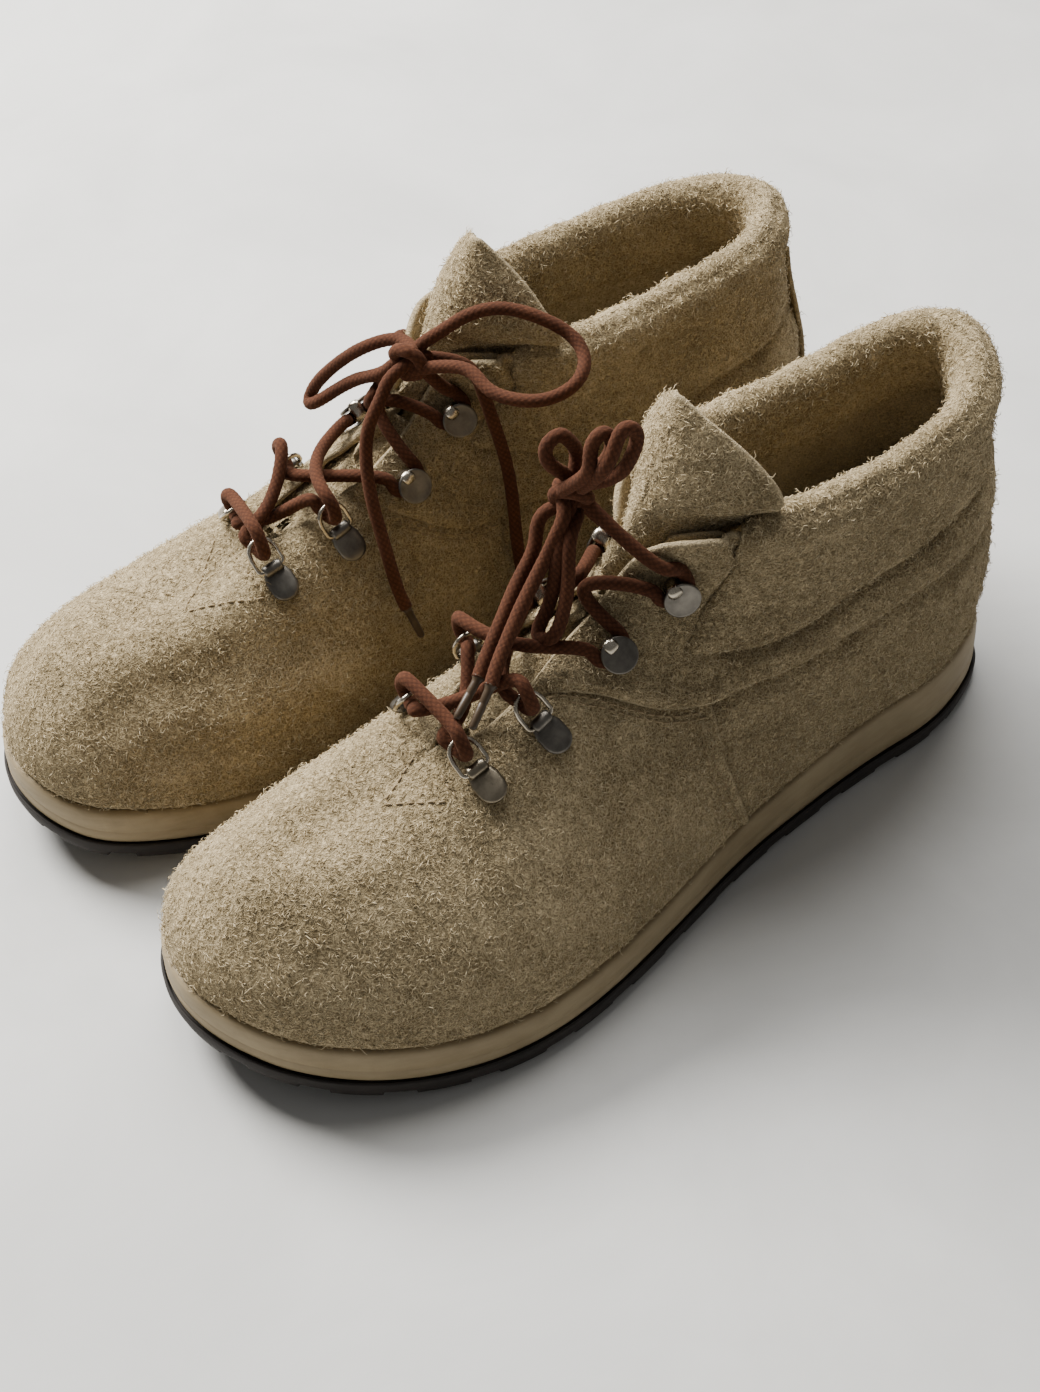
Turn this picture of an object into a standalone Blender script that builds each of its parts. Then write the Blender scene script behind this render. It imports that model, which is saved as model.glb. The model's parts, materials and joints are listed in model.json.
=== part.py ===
"""Pair of lace-up suede deck boots, built as separate pieces. Blender 4.5, metres, +Z up, toes to -Y."""

import math

import bmesh
import bpy
import numpy as np
from mathutils import Matrix, Vector

MM = 0.001
GAP = 0.3                      # mm between two pieces that touch
COLLECTION = "deck_boots"

# Each boot: mirror of X, where its middle stands and how its toe is splayed.
BOOTS = {
    "left": (1.0, 52.7, 2.7, math.radians(3.3)),
    "right": (-1.0, -52.7, -2.7, math.radians(-3.3)),
}
LATERAL = 1
MEDIAL = -1

# Outsole outline in the boot's own frame, mm: y, lateral x, medial x. X points to the outer side.
OUTLINE = np.array([
    (-152.5, -7, -7), (-148, 13, -27), (-138, 29, -40), (-120, 44, -48), (-95, 55, -53.5),
    (-65, 60, -54), (-35, 57, -47), (-5, 50, -39), (25, 43, -34), (55, 39, -33), (85, 37, -35),
    (110, 36, -36.5), (130, 30, -32), (145, 20, -21), (152.5, 0, 0)], float)
TOE_SPRING = 13.0
SPRING_START = -70.0
SPRING_LENGTH = 82.5
OUTSOLE_THICK = 6.6
FEATHER_INSET = 5.0            # where the upper meets the midsole
MIDSOLE_TOP_Y = (-152.5, -110, -65, -10, 40, 90, 152.5)
MIDSOLE_TOP_Z = (20, 19, 18, 19, 22, 25.5, 27)

# The upper's top edge: s along the side (0 toe, 1 heel), x, y, z, how steep the wall is, bulge,
# and how much nearer the middle the inner side's edge stands. Mm.
TOP = np.array([
    (0.00, -3, -112, 65, 0, 2, 0), (0.08, -3, -109, 65, 0, 2, 0), (0.16, -3, -100, 65.5, 0, 1.5, 0),
    (0.24, -3, -86, 67.5, 0, 1, 0), (0.33, -3, -67, 73, 0, 1, 0), (0.42, -3, -48, 81.5, 0, 2, 0),
    (0.50, -3, -29.5, 92.5, 0.1, 2.5, 0), (0.57, -1, -10.5, 106.5, 0.3, 2.5, 0),
    (0.64, 8, 5, 123.5, 0.6, 3.5, 1.5), (0.70, 21.5, 22, 127, 0.9, 4, 2.5),
    (0.78, 31, 54, 126, 1, 4, 4.5), (0.86, 32.5, 90, 128, 1, 4, 9),
    (0.93, 25.5, 121, 132.5, 1, 3, 6), (1.00, 0, 137, 138, 1, 3, 0)], float)
HEEL_TURN = -400.0             # how fast the top edge crosses the heel, mm per whole side
DOME_ACROSS = np.array([0, 0, 0.22, 0.57, 0.76, 1])
DOME_UP = {LATERAL: np.array([0, 0.25, 0.56, 0.92, 1.01, 1]),
           MEDIAL: np.array([0, 0.30, 0.66, 1.05, 1.06, 1])}
WALL_ACROSS = np.array([0, 0, 0.15, 0.55, 0.9, 1])
WALL_UP = np.array([0, 0.16, 0.38, 0.62, 0.84, 1])
WALL_OUT = np.array([0, 1, 1, -0.3, -0.9, 0])
DOME_OUT = np.array([0, 1, 1, 0.3, 0, 0])
KNOTS = np.array([0, 0, 0, 0, 1 / 3, 2 / 3, 1, 1, 1, 1])

# Seams of the upper, as height a (0 sole, 1 top edge) at places s along each side.
THROAT = {LATERAL: ((0.36, 1.0), (0.40, 0.93), (0.475, 0.91)),
          MEDIAL: ((0.36, 1.0), (0.40, 0.88), (0.475, 0.82))}
PANEL_SEAM = {LATERAL: ((0.475, 0.89), (0.505, 0.76), (0.545, 0.51), (0.59, 0.40), (0.66, 0.38),
                        (0.745, 0.45), (0.81, 0.47), (0.87, 0.455), (1.0, 0.44)),
              MEDIAL: ((0.475, 0.79), (0.505, 0.52), (0.54, 0.37), (0.58, 0.33), (0.66, 0.33),
                       (0.745, 0.43), (0.81, 0.47), (0.87, 0.455), (1.0, 0.44))}
FRONT_EDGE = {LATERAL: ((0.475, 0.91), (0.52, 0.925), (0.562, 0.925), (0.60, 0.94), (0.64, 0.965)),
              MEDIAL: ((0.475, 0.81), (0.50, 0.80), (0.565, 0.82), (0.61, 0.86), (0.64, 0.90))}
RIM_SEAM = 0.905               # a where the rolled collar begins
COLLAR_START = 0.69            # s where the rolled collar begins
SIDE_SEAM = 0.585              # s where vamp meets quarter
SIDES_BLEND = 0.27             # s where the two sides of the toe take their own shapes
# Rows of every layer of the upper, so that layers keep their distance.
ROWS = (0, 0.045, 0.09, 0.135, 0.18, 0.225, 0.27, 0.315, 0.36, 0.40, 0.44, 0.475, 0.505, 0.545,
        0.5842, 0.5858, 0.62, 0.65, 0.69, 0.73, 0.77, 0.81, 0.85, 0.885, 0.915, 0.945, 0.97, 1.0)
UPPER_THICK = 1.8
LINING_DEPTH = 3.6
LINING_THICK = 1.2
COUNTER_DEPTH = 2.2
COUNTER_THICK = 1.0
COLLAR_DEPTH = 4.6             # collar roll's middle, inside the outer skin
COLLAR_HALF_WIDE = 5.4
COLLAR_HALF_TALL = 6.6

# Lace hardware: side, s, a on the upper.
D_RINGS = {"d1_lateral": (LATERAL, 0.372, 0.80), "d2_lateral": (LATERAL, 0.455, 0.755),
           "d1_medial": (MEDIAL, 0.358, 0.70), "d2_medial": (MEDIAL, 0.442, 0.625)}
HOOKS = {"h1_lateral": (LATERAL, 0.548, 0.775), "h2_lateral": (LATERAL, 0.636, 0.81),
         "h1_medial": (MEDIAL, 0.525, 0.63), "h2_medial": (MEDIAL, 0.612, 0.735)}
PLATE_WIDE = 9.0
PLATE_LONG = 11.0
PLATE_THICK = 1.0
BARREL_RADIUS = 2.0
BORE_RADIUS = 1.15
BARREL_LONG = 6.4
WIRE_RADIUS = 0.75
RING_WIDE = 10.5
RING_LONG = 9.4
RING_TILT = 0.45
HEAD_RADIUS = 5.5
HEAD_THICK = 1.1
HEAD_LIFT = 6.4
HOOK_GAP = 0.8                 # a flat foot on the curved leather
LACE_RADIUS = 2.1
AGLET_RADIUS = 1.3
AGLET_LONG = 13.0


# ---------------------------------------------------------------- curves and the boot's surface

def spline(xs, ys, x, slopes=None):
    """Smooth cubic through (xs, ys) read at x; slopes gives the two end slopes."""
    xs = np.asarray(xs, float)
    ys = np.asarray(ys, float)
    count = len(xs)
    step = np.diff(xs)
    rise = np.diff(ys, axis=0) / (step if ys.ndim == 1 else step[:, None])
    matrix = np.zeros((count, count))
    right = np.zeros_like(ys)
    matrix[0, 0] = matrix[-1, -1] = 1
    for i in range(1, count - 1):
        matrix[i, i - 1:i + 2] = step[i - 1], 2 * (step[i - 1] + step[i]), step[i]
        right[i] = 6 * (rise[i] - rise[i - 1])
    if slopes is not None:
        matrix[0, :2] = 2 * step[0], step[0]
        matrix[-1, -2:] = step[-1], 2 * step[-1]
        right[0] = 6 * (rise[0] - slopes[0])
        right[-1] = 6 * (slopes[1] - rise[-1])
    bend = np.linalg.solve(matrix, right)
    x = np.clip(np.asarray(x, float), xs[0], xs[-1])
    i = np.clip(np.searchsorted(xs, x, side="right") - 1, 0, count - 2)
    t = x - xs[i]
    h = step[i]
    if ys.ndim > 1:
        t = t[..., None]
        h = h[..., None]
    slope = rise[i] - h * (2 * bend[i] + bend[i + 1]) / 6
    return ys[i] + t * slope + t * t * bend[i] / 2 + t ** 3 * (bend[i + 1] - bend[i]) / (6 * h)


def spring(y):
    """How far the sole curves up from the floor toward the toe."""
    return TOE_SPRING * np.clip((SPRING_START - np.asarray(y)) / SPRING_LENGTH, 0, 1) ** 2


def midsole_top(y):
    return spline(MIDSOLE_TOP_Y, MIDSOLE_TOP_Z, y) + spring(y)


def side_outline(side, inset, count=241):
    """One side of the sole outline from toe to heel, moved inwards by inset."""
    points = np.column_stack([OUTLINE[:, 1] if side > 0 else OUTLINE[:, 2], OUTLINE[:, 0]])
    along = np.concatenate([[0], np.cumsum(np.linalg.norm(np.diff(points, axis=0), axis=1))])
    ends = (np.array([side, 0.0]), np.array([-side, 0.0]))
    fine = spline(along, points, np.linspace(0, along[-1], 2000), ends)
    along = np.concatenate([[0], np.cumsum(np.linalg.norm(np.diff(fine, axis=0), axis=1))])
    even = np.linspace(0, along[-1], count)
    line = np.column_stack([np.interp(even, along, fine[:, 0]), np.interp(even, along, fine[:, 1])])
    tangent = np.gradient(line, axis=0)
    tangent /= np.linalg.norm(tangent, axis=1)[:, None]
    tangent[0] = ends[0]
    tangent[-1] = ends[1]
    inwards = np.column_stack([-tangent[:, 1], tangent[:, 0]]) * side
    return line + inwards * inset, inwards


FEATHER = {side: side_outline(side, FEATHER_INSET) for side in (LATERAL, MEDIAL)}


def basis(a):
    """Cubic B-spline weights of six control points at a."""
    a = np.clip(np.asarray(a, float), 0, 1 - 1e-12)
    weights = [((a >= KNOTS[i]) & (a < KNOTS[i + 1])).astype(float) for i in range(9)]
    for degree in range(1, 4):
        following = []
        for i in range(9 - degree):
            left = KNOTS[i + degree] - KNOTS[i]
            right = KNOTS[i + degree + 1] - KNOTS[i + 1]
            rising = (a - KNOTS[i]) / left * weights[i] if left else 0 * a
            falling = (KNOTS[i + degree + 1] - a) / right * weights[i + 1] if right else 0 * a
            following.append(rising + falling)
        weights = following
    return np.stack(weights, -1)


def skin(side, s, a):
    """Point on the upper's outer surface, mm: s along the side, a from the sole to the top edge."""
    s, a = np.broadcast_arrays(np.asarray(s, float), np.asarray(a, float))
    line, inwards = FEATHER[side]
    even = np.linspace(0, 1, len(line))
    foot = np.stack([np.interp(s, even, line[:, k]) for k in (0, 1)], -1)
    out = -np.stack([np.interp(s, even, inwards[:, k]) for k in (0, 1)], -1)
    slopes = (np.zeros(6), np.array([HEEL_TURN, 0, 0, 0, 0, 0]))
    top = spline(TOP[:, 0], TOP[:, 1:], s, slopes)
    top_x = top[..., 0]
    if side < 0:
        top_x = 2 * np.interp(s, (0, 0.5, 0.6, 1), (-3, -3, 0, 0)) - top_x + top[..., 5]
    steep = np.clip(top[..., 3], 0, 1)[..., None]
    foot_z = midsole_top(foot[..., 1]) + GAP
    reach = np.stack([top_x - foot[..., 0], top[..., 1] - foot[..., 1]], -1)
    across = (1 - steep) * DOME_ACROSS + steep * WALL_ACROSS
    own = np.clip(s / SIDES_BLEND, 0, 1)[..., None]
    both = (DOME_UP[LATERAL] + DOME_UP[MEDIAL]) / 2
    up = (1 - steep) * (both + (DOME_UP[side] - both) * own) + steep * WALL_UP
    bulge = top[..., 4][..., None] * ((1 - steep) * DOME_OUT + steep * WALL_OUT)
    plan = foot[..., None, :] + reach[..., None, :] * across[..., None]
    plan = plan + out[..., None, :] * bulge[..., None]
    height = foot_z[..., None] + (top[..., 2] - foot_z)[..., None] * up
    control = np.concatenate([plan, height[..., None]], -1)
    return np.einsum("...k,...kd->...d", basis(a), control)


def skin_frame(side, s, a):
    """Point, outward normal and the direction toward the toe on the upper."""
    here = skin(side, s, a)
    toward_toe = skin(side, s - 0.01, a) - here
    up = skin(side, s, a + 0.01) - here
    normal = np.cross(up, toward_toe) * side
    normal /= np.linalg.norm(normal)
    up -= normal * (up @ normal)
    return here, normal, up / np.linalg.norm(up)


def read_seam(seam, s):
    return np.interp(s, [p[0] for p in seam], [p[1] for p in seam])


# ---------------------------------------------------------------- building objects

def clear_scene():
    for obj in list(bpy.data.objects):
        bpy.data.objects.remove(obj, do_unlink=True)


def collection(name):
    group = bpy.data.collections.new(name)
    bpy.context.scene.collection.children.link(group)
    return group


def material(name, colour, rough, metal=0.0):
    made = bpy.data.materials.new(name)
    made.use_nodes = True
    shader = made.node_tree.nodes["Principled BSDF"]
    shader.inputs["Base Color"].default_value = (*colour, 1)
    shader.inputs["Roughness"].default_value = rough
    shader.inputs["Metallic"].default_value = metal
    return made


def boot_matrix(boot):
    mirror, x, y, splay = BOOTS[boot]
    turn = Matrix.Translation((x * MM, y * MM, 0)) @ Matrix.Rotation(splay, 4, "Z")
    return turn @ Matrix.Diagonal((mirror * MM, MM, MM, 1))


def finish(obj, boot, look, pivot=None, smooth=True):
    """Name the material, carry the mm mesh onto its boot and put the origin on the pivot."""
    move = boot_matrix(boot)
    obj.data.transform(move)
    if move.determinant() < 0:
        obj.data.flip_normals()
    if pivot is not None:
        centre = move @ Vector(pivot)
        obj.data.transform(Matrix.Translation(-centre))
        obj.matrix_world = Matrix.Translation(centre)
    obj.data.materials.append(look)
    for face in obj.data.polygons:
        face.use_smooth = smooth
    return obj


def mesh_object(name, vertices, faces, group):
    data = bpy.data.meshes.new(name)
    data.from_pydata([tuple(map(float, v)) for v in vertices], [], faces)
    data.validate()
    obj = bpy.data.objects.new(name, data)
    group.objects.link(obj)
    return obj


def merge_close(obj, distance):
    work = bmesh.new()
    work.from_mesh(obj.data)
    bmesh.ops.remove_doubles(work, verts=work.verts, dist=distance)
    bmesh.ops.dissolve_degenerate(work, edges=work.edges, dist=distance / 10)
    bmesh.ops.recalc_face_normals(work, faces=work.faces)
    work.to_mesh(obj.data)
    work.free()


def grid_faces(rows, columns, ring=False, first=0):
    """Quads over a grid of points; ring joins the last column to the first."""
    faces = []
    for i in range(rows - 1):
        for j in range(columns if ring else columns - 1):
            k = (j + 1) % columns
            a, b = first + i * columns, first + (i + 1) * columns
            faces.append((a + j, a + k, b + k, b + j))
    return faces


def shell(name, group, sheets, depth, thick):
    """A sheet of the upper: grids of skin points, sunk by depth, with a thickness inwards."""
    vertices = []
    faces = []
    for sheet in sheets:
        rows, columns, _ = sheet.shape
        faces += grid_faces(rows, columns, first=len(vertices))
        vertices += list(sheet.reshape(-1, 3))
    obj = mesh_object(name, vertices, faces, group)
    merge_close(obj, 0.02)
    data = obj.data
    data.update()
    middle = np.array([0.0, 0.0, 40.0])
    outward = 0.0
    for face in data.polygons:
        outward += face.area * float(np.dot(face.normal, np.array(face.center) - middle))
    if outward < 0:
        data.flip_normals()
        data.update()
    normals = [vertex.normal.copy() for vertex in data.vertices]
    for vertex, normal in zip(data.vertices, normals):
        vertex.co -= normal * depth
    solid = obj.modifiers.new("thickness", "SOLIDIFY")
    solid.thickness = thick
    solid.offset = -1
    apply_modifiers(obj)
    return obj


def apply_modifiers(obj):
    """Bake the modifiers, so that the mesh can be carried onto its boot."""
    bpy.context.view_layer.update()
    result = bpy.data.meshes.new_from_object(obj.evaluated_get(bpy.context.evaluated_depsgraph_get()))
    obj.modifiers.clear()
    old = obj.data
    obj.data = result
    bpy.data.meshes.remove(old)
    result.name = obj.name


def rows(start, stop):
    """The shared rows from start to stop."""
    return np.array([s for s in ROWS if start - 1e-6 <= s <= stop + 1e-6])


def patch(side, s_values, low, high, count):
    """Grid of skin points between two seams; low and high give a at each s."""
    t = np.linspace(0, 1, count)
    s = np.asarray(s_values)[:, None]
    bottom = np.asarray([low(v) for v in s_values])[:, None]
    top = np.asarray([high(v) for v in s_values])[:, None]
    return skin(side, s + 0 * t, bottom + (top - bottom) * t)


def outline_ring(inset, lift, count, notch=None):
    """Closed ring of points around the sole: lateral side toe to heel, then medial back to the toe."""
    s = np.linspace(0, 1, count + 1)
    sides = []
    for side in (LATERAL, MEDIAL):
        line, inwards = side_outline(side, inset)
        even = np.linspace(0, 1, len(line))
        depth = np.zeros(len(s)) if notch is None else notch(s)
        xy = np.stack([np.interp(s, even, line[:, k] + 0) for k in (0, 1)], -1)
        xy += np.stack([np.interp(s, even, inwards[:, k]) for k in (0, 1)], -1) * depth[:, None]
        sides.append(np.column_stack([xy, lift(xy[:, 1])]))
    return np.concatenate([sides[0], sides[1][-2:0:-1]])


def sole_block(name, group, rings):
    """Solid lofted through outline rings, with its top and bottom filled across."""
    count = len(rings[0])
    half = count // 2
    faces = grid_faces(len(rings), count, ring=True)
    for level, flip in ((0, True), (len(rings) - 1, False)):
        base = level * count
        for i in range(half):
            right = (base + i, base + i + 1)
            left = (base + (count - i) % count, base + count - i - 1)
            face = (right[0], right[1], left[1], left[0])
            face = tuple(dict.fromkeys(face))
            faces.append(face[::-1] if flip else face)
    obj = mesh_object(name, np.concatenate(rings), faces, group)
    merge_close(obj, 0.005)
    return obj


def boolean(obj, tool, operation, group):
    cut = obj.modifiers.new(operation.lower(), "BOOLEAN")
    cut.operation = operation
    cut.solver = "EXACT"
    cut.object = tool
    apply_modifiers(obj)
    data = tool.data
    bpy.data.objects.remove(tool, do_unlink=True)
    bpy.data.meshes.remove(data)


# ---------------------------------------------------------------- sole

def outsole(boot, group, look):
    def notches(s):
        """Tread blocks: every second pair of points stands back from the edge."""
        step = np.round(s * 56).astype(int) % 4
        return np.where((step >= 2) & (s > 0.02) & (s < 0.98), 2.2, 0.0)

    rings = [outline_ring(2.2, spring, 56, notches),
             outline_ring(1.6, lambda y: spring(y) + 2.2, 56, notches),
             outline_ring(1.0, lambda y: spring(y) + 2.8, 56),
             outline_ring(0.9, lambda y: spring(y) + OUTSOLE_THICK, 56)]
    obj = sole_block(boot + "_outsole", group, rings)
    return finish(obj, boot, look["rubber"])


def shank_block(name, group, grow):
    """Curved steel strip lying in the top of the midsole, grown by grow all round."""
    ys = np.linspace(-2 - grow, 92 + grow, 9)
    top = midsole_top(ys) - 0.6 + (3 if grow else 0)
    low = midsole_top(ys) - 1.8 - grow
    wide = 7.0 + grow
    points = []
    for y, high, deep in zip(ys, top, low):
        points += [(-wide, y, deep), (wide, y, deep), (wide, y, high), (-wide, y, high)]
    faces = grid_faces(len(ys), 4, ring=True)
    last = 4 * (len(ys) - 1)
    faces += [(0, 1, 2, 3)[::-1], (last, last + 1, last + 2, last + 3)]
    obj = mesh_object(name, points, faces, group)
    merge_close(obj, 0.001)
    return obj


def midsole(boot, group, look):
    rings = []
    for part, inset in ((0.0, 2.4), (0.5, 2.2), (1.0, 3.6)):
        def level(y, part=part):
            low = spring(y) + OUTSOLE_THICK + GAP
            return low + (midsole_top(y) - low) * part
        rings.append(outline_ring(inset, level, 28))
    obj = sole_block(boot + "_midsole", group, rings)
    boolean(obj, shank_block("groove", group, GAP), "DIFFERENCE", group)
    return finish(obj, boot, look["foam"])


def shank(boot, group, look):
    obj = shank_block(boot + "_shank", group, 0.0)
    return finish(obj, boot, look["steel"], smooth=False)


def foot_sheet(name, group, inset, low, high):
    rings = [outline_ring(inset, lambda y, z=z: midsole_top(y) + z, 24) for z in (low, high)]
    return sole_block(name, group, rings)


def insole_board(boot, group, look):
    obj = foot_sheet(boot + "_insole_board", group, 8.8, 0.4, 2.4)
    return finish(obj, boot, look["board"])


def footbed(boot, group, look):
    obj = foot_sheet(boot + "_footbed", group, 12.0, 2.8, 6.2)
    return finish(obj, boot, look["footbed"])


# ---------------------------------------------------------------- upper

def vamp(boot, group, look):
    sheets = []
    for side in (LATERAL, MEDIAL):
        def top(s, side=side):
            if s < PANEL_SEAM[side][0][0]:
                return read_seam(THROAT[side], s)
            return read_seam(PANEL_SEAM[side], s) - 0.01
        sheets.append(patch(side, rows(0, SIDE_SEAM), lambda s: 0.0, top, 11))
    obj = shell(boot + "_vamp", group, sheets, 0.0, UPPER_THICK)
    return finish(obj, boot, look["suede"])


def quarter(boot, group, look):
    sheets = [patch(side, rows(SIDE_SEAM, 1), lambda s: 0.0,
                    lambda s, side=side: read_seam(PANEL_SEAM[side], s) - 0.003, 5)
              for side in (LATERAL, MEDIAL)]
    obj = shell(boot + "_quarter", group, sheets, 0.0, UPPER_THICK)
    return finish(obj, boot, look["suede"])


def ankle_panel(boot, side, group, look):
    def top(s):
        if s < COLLAR_START - 0.001:
            return read_seam(FRONT_EDGE[side], s)
        return RIM_SEAM

    s_values = rows(0.475, 1)
    s_values[-1] = 0.991
    sheet = patch(side, s_values, lambda s: read_seam(PANEL_SEAM[side], s) + 0.004, top, 7)
    name = boot + ("_ankle_panel_lateral" if side > 0 else "_ankle_panel_medial")
    obj = shell(name, group, [sheet], 0.0, UPPER_THICK)
    return finish(obj, boot, look["suede"])


def lining(boot, group, look):
    sheets = []
    for side, front in ((LATERAL, 0.72), (MEDIAL, 0.62)):
        def top(s, front=front):
            return front + (0.85 - front) * min(1, max(0, (s - 0.62) / 0.07))
        sheets.append(patch(side, rows(0.62, 1), lambda s: 0.045, top, 6))
    obj = shell(boot + "_lining", group, sheets, LINING_DEPTH, LINING_THICK)
    return finish(obj, boot, look["lining"])


def heel_counter(boot, group, look):
    sheets = [patch(side, rows(0.81, 1), lambda s: 0.03, lambda s: 0.42, 5)
              for side in (LATERAL, MEDIAL)]
    obj = shell(boot + "_heel_counter", group, sheets, COUNTER_DEPTH, COUNTER_THICK)
    return finish(obj, boot, look["board"])


def backstay(boot, group, look):
    sheets = [patch(side, rows(0.97, 1), lambda s: 0.10, lambda s: 0.85, 9)
              for side in (LATERAL, MEDIAL)]
    obj = shell(boot + "_backstay", group, sheets, -2.6, 1.5)
    return finish(obj, boot, look["suede"])


def collar_path(count):
    """Middle line of the rolled collar from the lateral front round the heel to the medial front."""
    s = np.linspace(COLLAR_START, 1.0, count)
    lateral = np.array([collar_frame(LATERAL, v) for v in s])
    medial = np.array([collar_frame(MEDIAL, v) for v in s[-2::-1]])
    return np.concatenate([lateral, medial])


def collar_frame(side, s):
    """Section frame of the collar: its middle, the outward and the upward direction."""
    s = min(s, 0.999)
    low = skin(side, s, RIM_SEAM + 0.01)
    top = skin(side, s, 1.0)
    up = (top - low) / np.linalg.norm(top - low)
    along = skin(side, s + 0.001, 0.95) - skin(side, s - 0.001, 0.95)
    out = np.cross(along, up) * side
    out /= np.linalg.norm(out)
    middle = top - up * COLLAR_HALF_TALL - out * COLLAR_DEPTH
    return middle, out, up


def collar(boot, group, look):
    frames = collar_path(13)
    sides = 10
    points = []
    for i, (middle, out, up) in enumerate(frames):
        end = min(i, len(frames) - 1 - i)
        size = (0.55, 0.85, 1.0)[min(end, 2)]
        for k in range(sides):
            turn = 2 * math.pi * k / sides
            points.append(middle + out * COLLAR_HALF_WIDE * size * math.cos(turn)
                          + up * COLLAR_HALF_TALL * size * math.sin(turn))
    faces = grid_faces(len(frames), sides, ring=True)
    faces.append(tuple(range(sides)))
    last = sides * (len(frames) - 1)
    faces.append(tuple(range(last + sides - 1, last - 1, -1)))
    obj = mesh_object(boot + "_collar", points, faces, group)
    merge_close(obj, 0.001)
    return finish(obj, boot, look["collar"])


# Tongue under the lacing: s, then a at its lateral and medial edge.
TONGUE_LOW = ((0.405, 0.90, 0.82), (0.44, 0.83, 0.75), (0.475, 0.80, 0.72), (0.505, 0.79, 0.70),
              (0.545, 0.80, 0.73), (0.585, 0.83, 0.80))
TONGUE_DEPTH = 3.6
# Its leaf above the lacing: middle x, y, z, half width outwards and inwards, how far the sides
# fall back and down.
TONGUE_LEAF = ((-2.2, -0.2, 114.5, 12.0, 4.6, 19.5, 4.5), (-1.2, 4.5, 121.0, 14.0, 6.5, 27.0, 4.0),
               (-0.8, 8.5, 128.5, 18.5, 10.5, 29.5, 3.5), (-0.5, 13.0, 136.5, 26.5, 22.5, 27.0, 3.0),
               (-1.5, 18.0, 145.0, 18.5, 17.0, 12.0, 1.5), (-2.5, 22.0, 153.0, 9.5, 9.5, 3.0, 0.5),
               (-3.0, 25.0, 160.0, 1.2, 1.2, 0.0, 0.0))


def tongue(boot, group, look):
    across = np.linspace(-1, 1, 9)
    sheet = []
    for s, lateral, medial in TONGUE_LOW:
        row = []
        for v in across:
            side, edge = (LATERAL, lateral) if v > 0 else (MEDIAL, medial)
            point, normal, _ = skin_frame(side, s, min(1 - abs(v) * (1 - edge), 0.985))
            row.append(point - normal * TONGUE_DEPTH)
        sheet.append(row)
    for x, y, z, outer, inner, fall, drop in TONGUE_LEAF:
        sheet.append([np.array((x + (outer if v > 0 else inner) * v, y + fall * v * v, z - drop * v * v))
                      for v in across])
    obj = shell(boot + "_tongue", group, [np.array(sheet)], 0.0, 1.8)
    return finish(obj, boot, look["suede"])


# ---------------------------------------------------------------- lace hardware

def frame_matrix(origin, x_axis, y_axis, z_axis):
    matrix = Matrix.Identity(4)
    for column, axis in enumerate((x_axis, y_axis, z_axis, origin)):
        for row in range(3):
            matrix[row][column] = float(axis[row])
    return matrix


def ring_frame(place):
    """Frame of a D-ring fitting: x toward the throat, z out of the leather, origin on the barrel."""
    side, s, a = place
    point, normal, up = skin_frame(side, s, a)
    sideways = np.cross(normal, up)
    origin = point + normal * (BARREL_RADIUS + GAP) + up * 3.0
    return frame_matrix(origin, up, sideways, normal)


def primitive(name, group, maker, matrix, **sizes):
    work = bmesh.new()
    maker(work, matrix=matrix, **sizes)
    data = bpy.data.meshes.new(name)
    work.to_mesh(data)
    work.free()
    obj = bpy.data.objects.new(name, data)
    group.objects.link(obj)
    return obj


def rod(name, group, radius, length, matrix, sides=12):
    return primitive(name, group, bmesh.ops.create_cone, matrix, cap_ends=True, segments=sides,
                     radius1=radius, radius2=radius, depth=length)


def box(name, group, size, matrix):
    return primitive(name, group, bmesh.ops.create_cube, matrix @ Matrix.Diagonal((*size, 1)), size=1.0)


def ring_plate(boot, key, group, look):
    """Tongue-shaped plate with a rolled barrel for the ring."""
    flat = PLATE_WIDE / 2
    outline = [(-PLATE_LONG + flat + flat * math.cos(t), flat * math.sin(t))
               for t in np.linspace(math.pi / 2, 1.5 * math.pi, 7)]
    outline += [(0.4, -BARREL_LONG / 2), (0.4, BARREL_LONG / 2)]
    low = -BARREL_RADIUS
    points = [(x, y, low) for x, y in outline] + [(x, y, low + PLATE_THICK) for x, y in outline]
    count = len(outline)
    faces = [tuple(range(count)), tuple(range(2 * count - 1, count - 1, -1))]
    faces += [(i, (i + 1) % count, count + (i + 1) % count, count + i) for i in range(count)]
    obj = mesh_object(boot + "_ring_plate_" + key, points, faces, group)
    merge_close(obj, 0.001)
    lying = Matrix.Rotation(math.pi / 2, 4, "X")
    boolean(obj, rod("barrel", group, BARREL_RADIUS, BARREL_LONG, lying), "UNION", group)
    boolean(obj, rod("bore", group, BORE_RADIUS, PLATE_WIDE * 2, lying, 8), "DIFFERENCE", group)
    obj.data.transform(ring_frame(D_RINGS[key]))
    return finish(obj, boot, look["metal"], smooth=False)


def ring_line():
    """Middle line of the D-shaped wire: straight bar in the barrel, round bow toward the throat."""
    half = RING_WIDE / 2 - WIRE_RADIUS
    bow = RING_LONG - half
    line = [(0, -half + 0.8), (0, half - 0.8), (0.8, half)]
    line += [(bow + half * math.sin(t), half * math.cos(t)) for t in np.linspace(0.0, math.pi, 7)]
    line += [(0.8, -half)]
    return line


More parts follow.
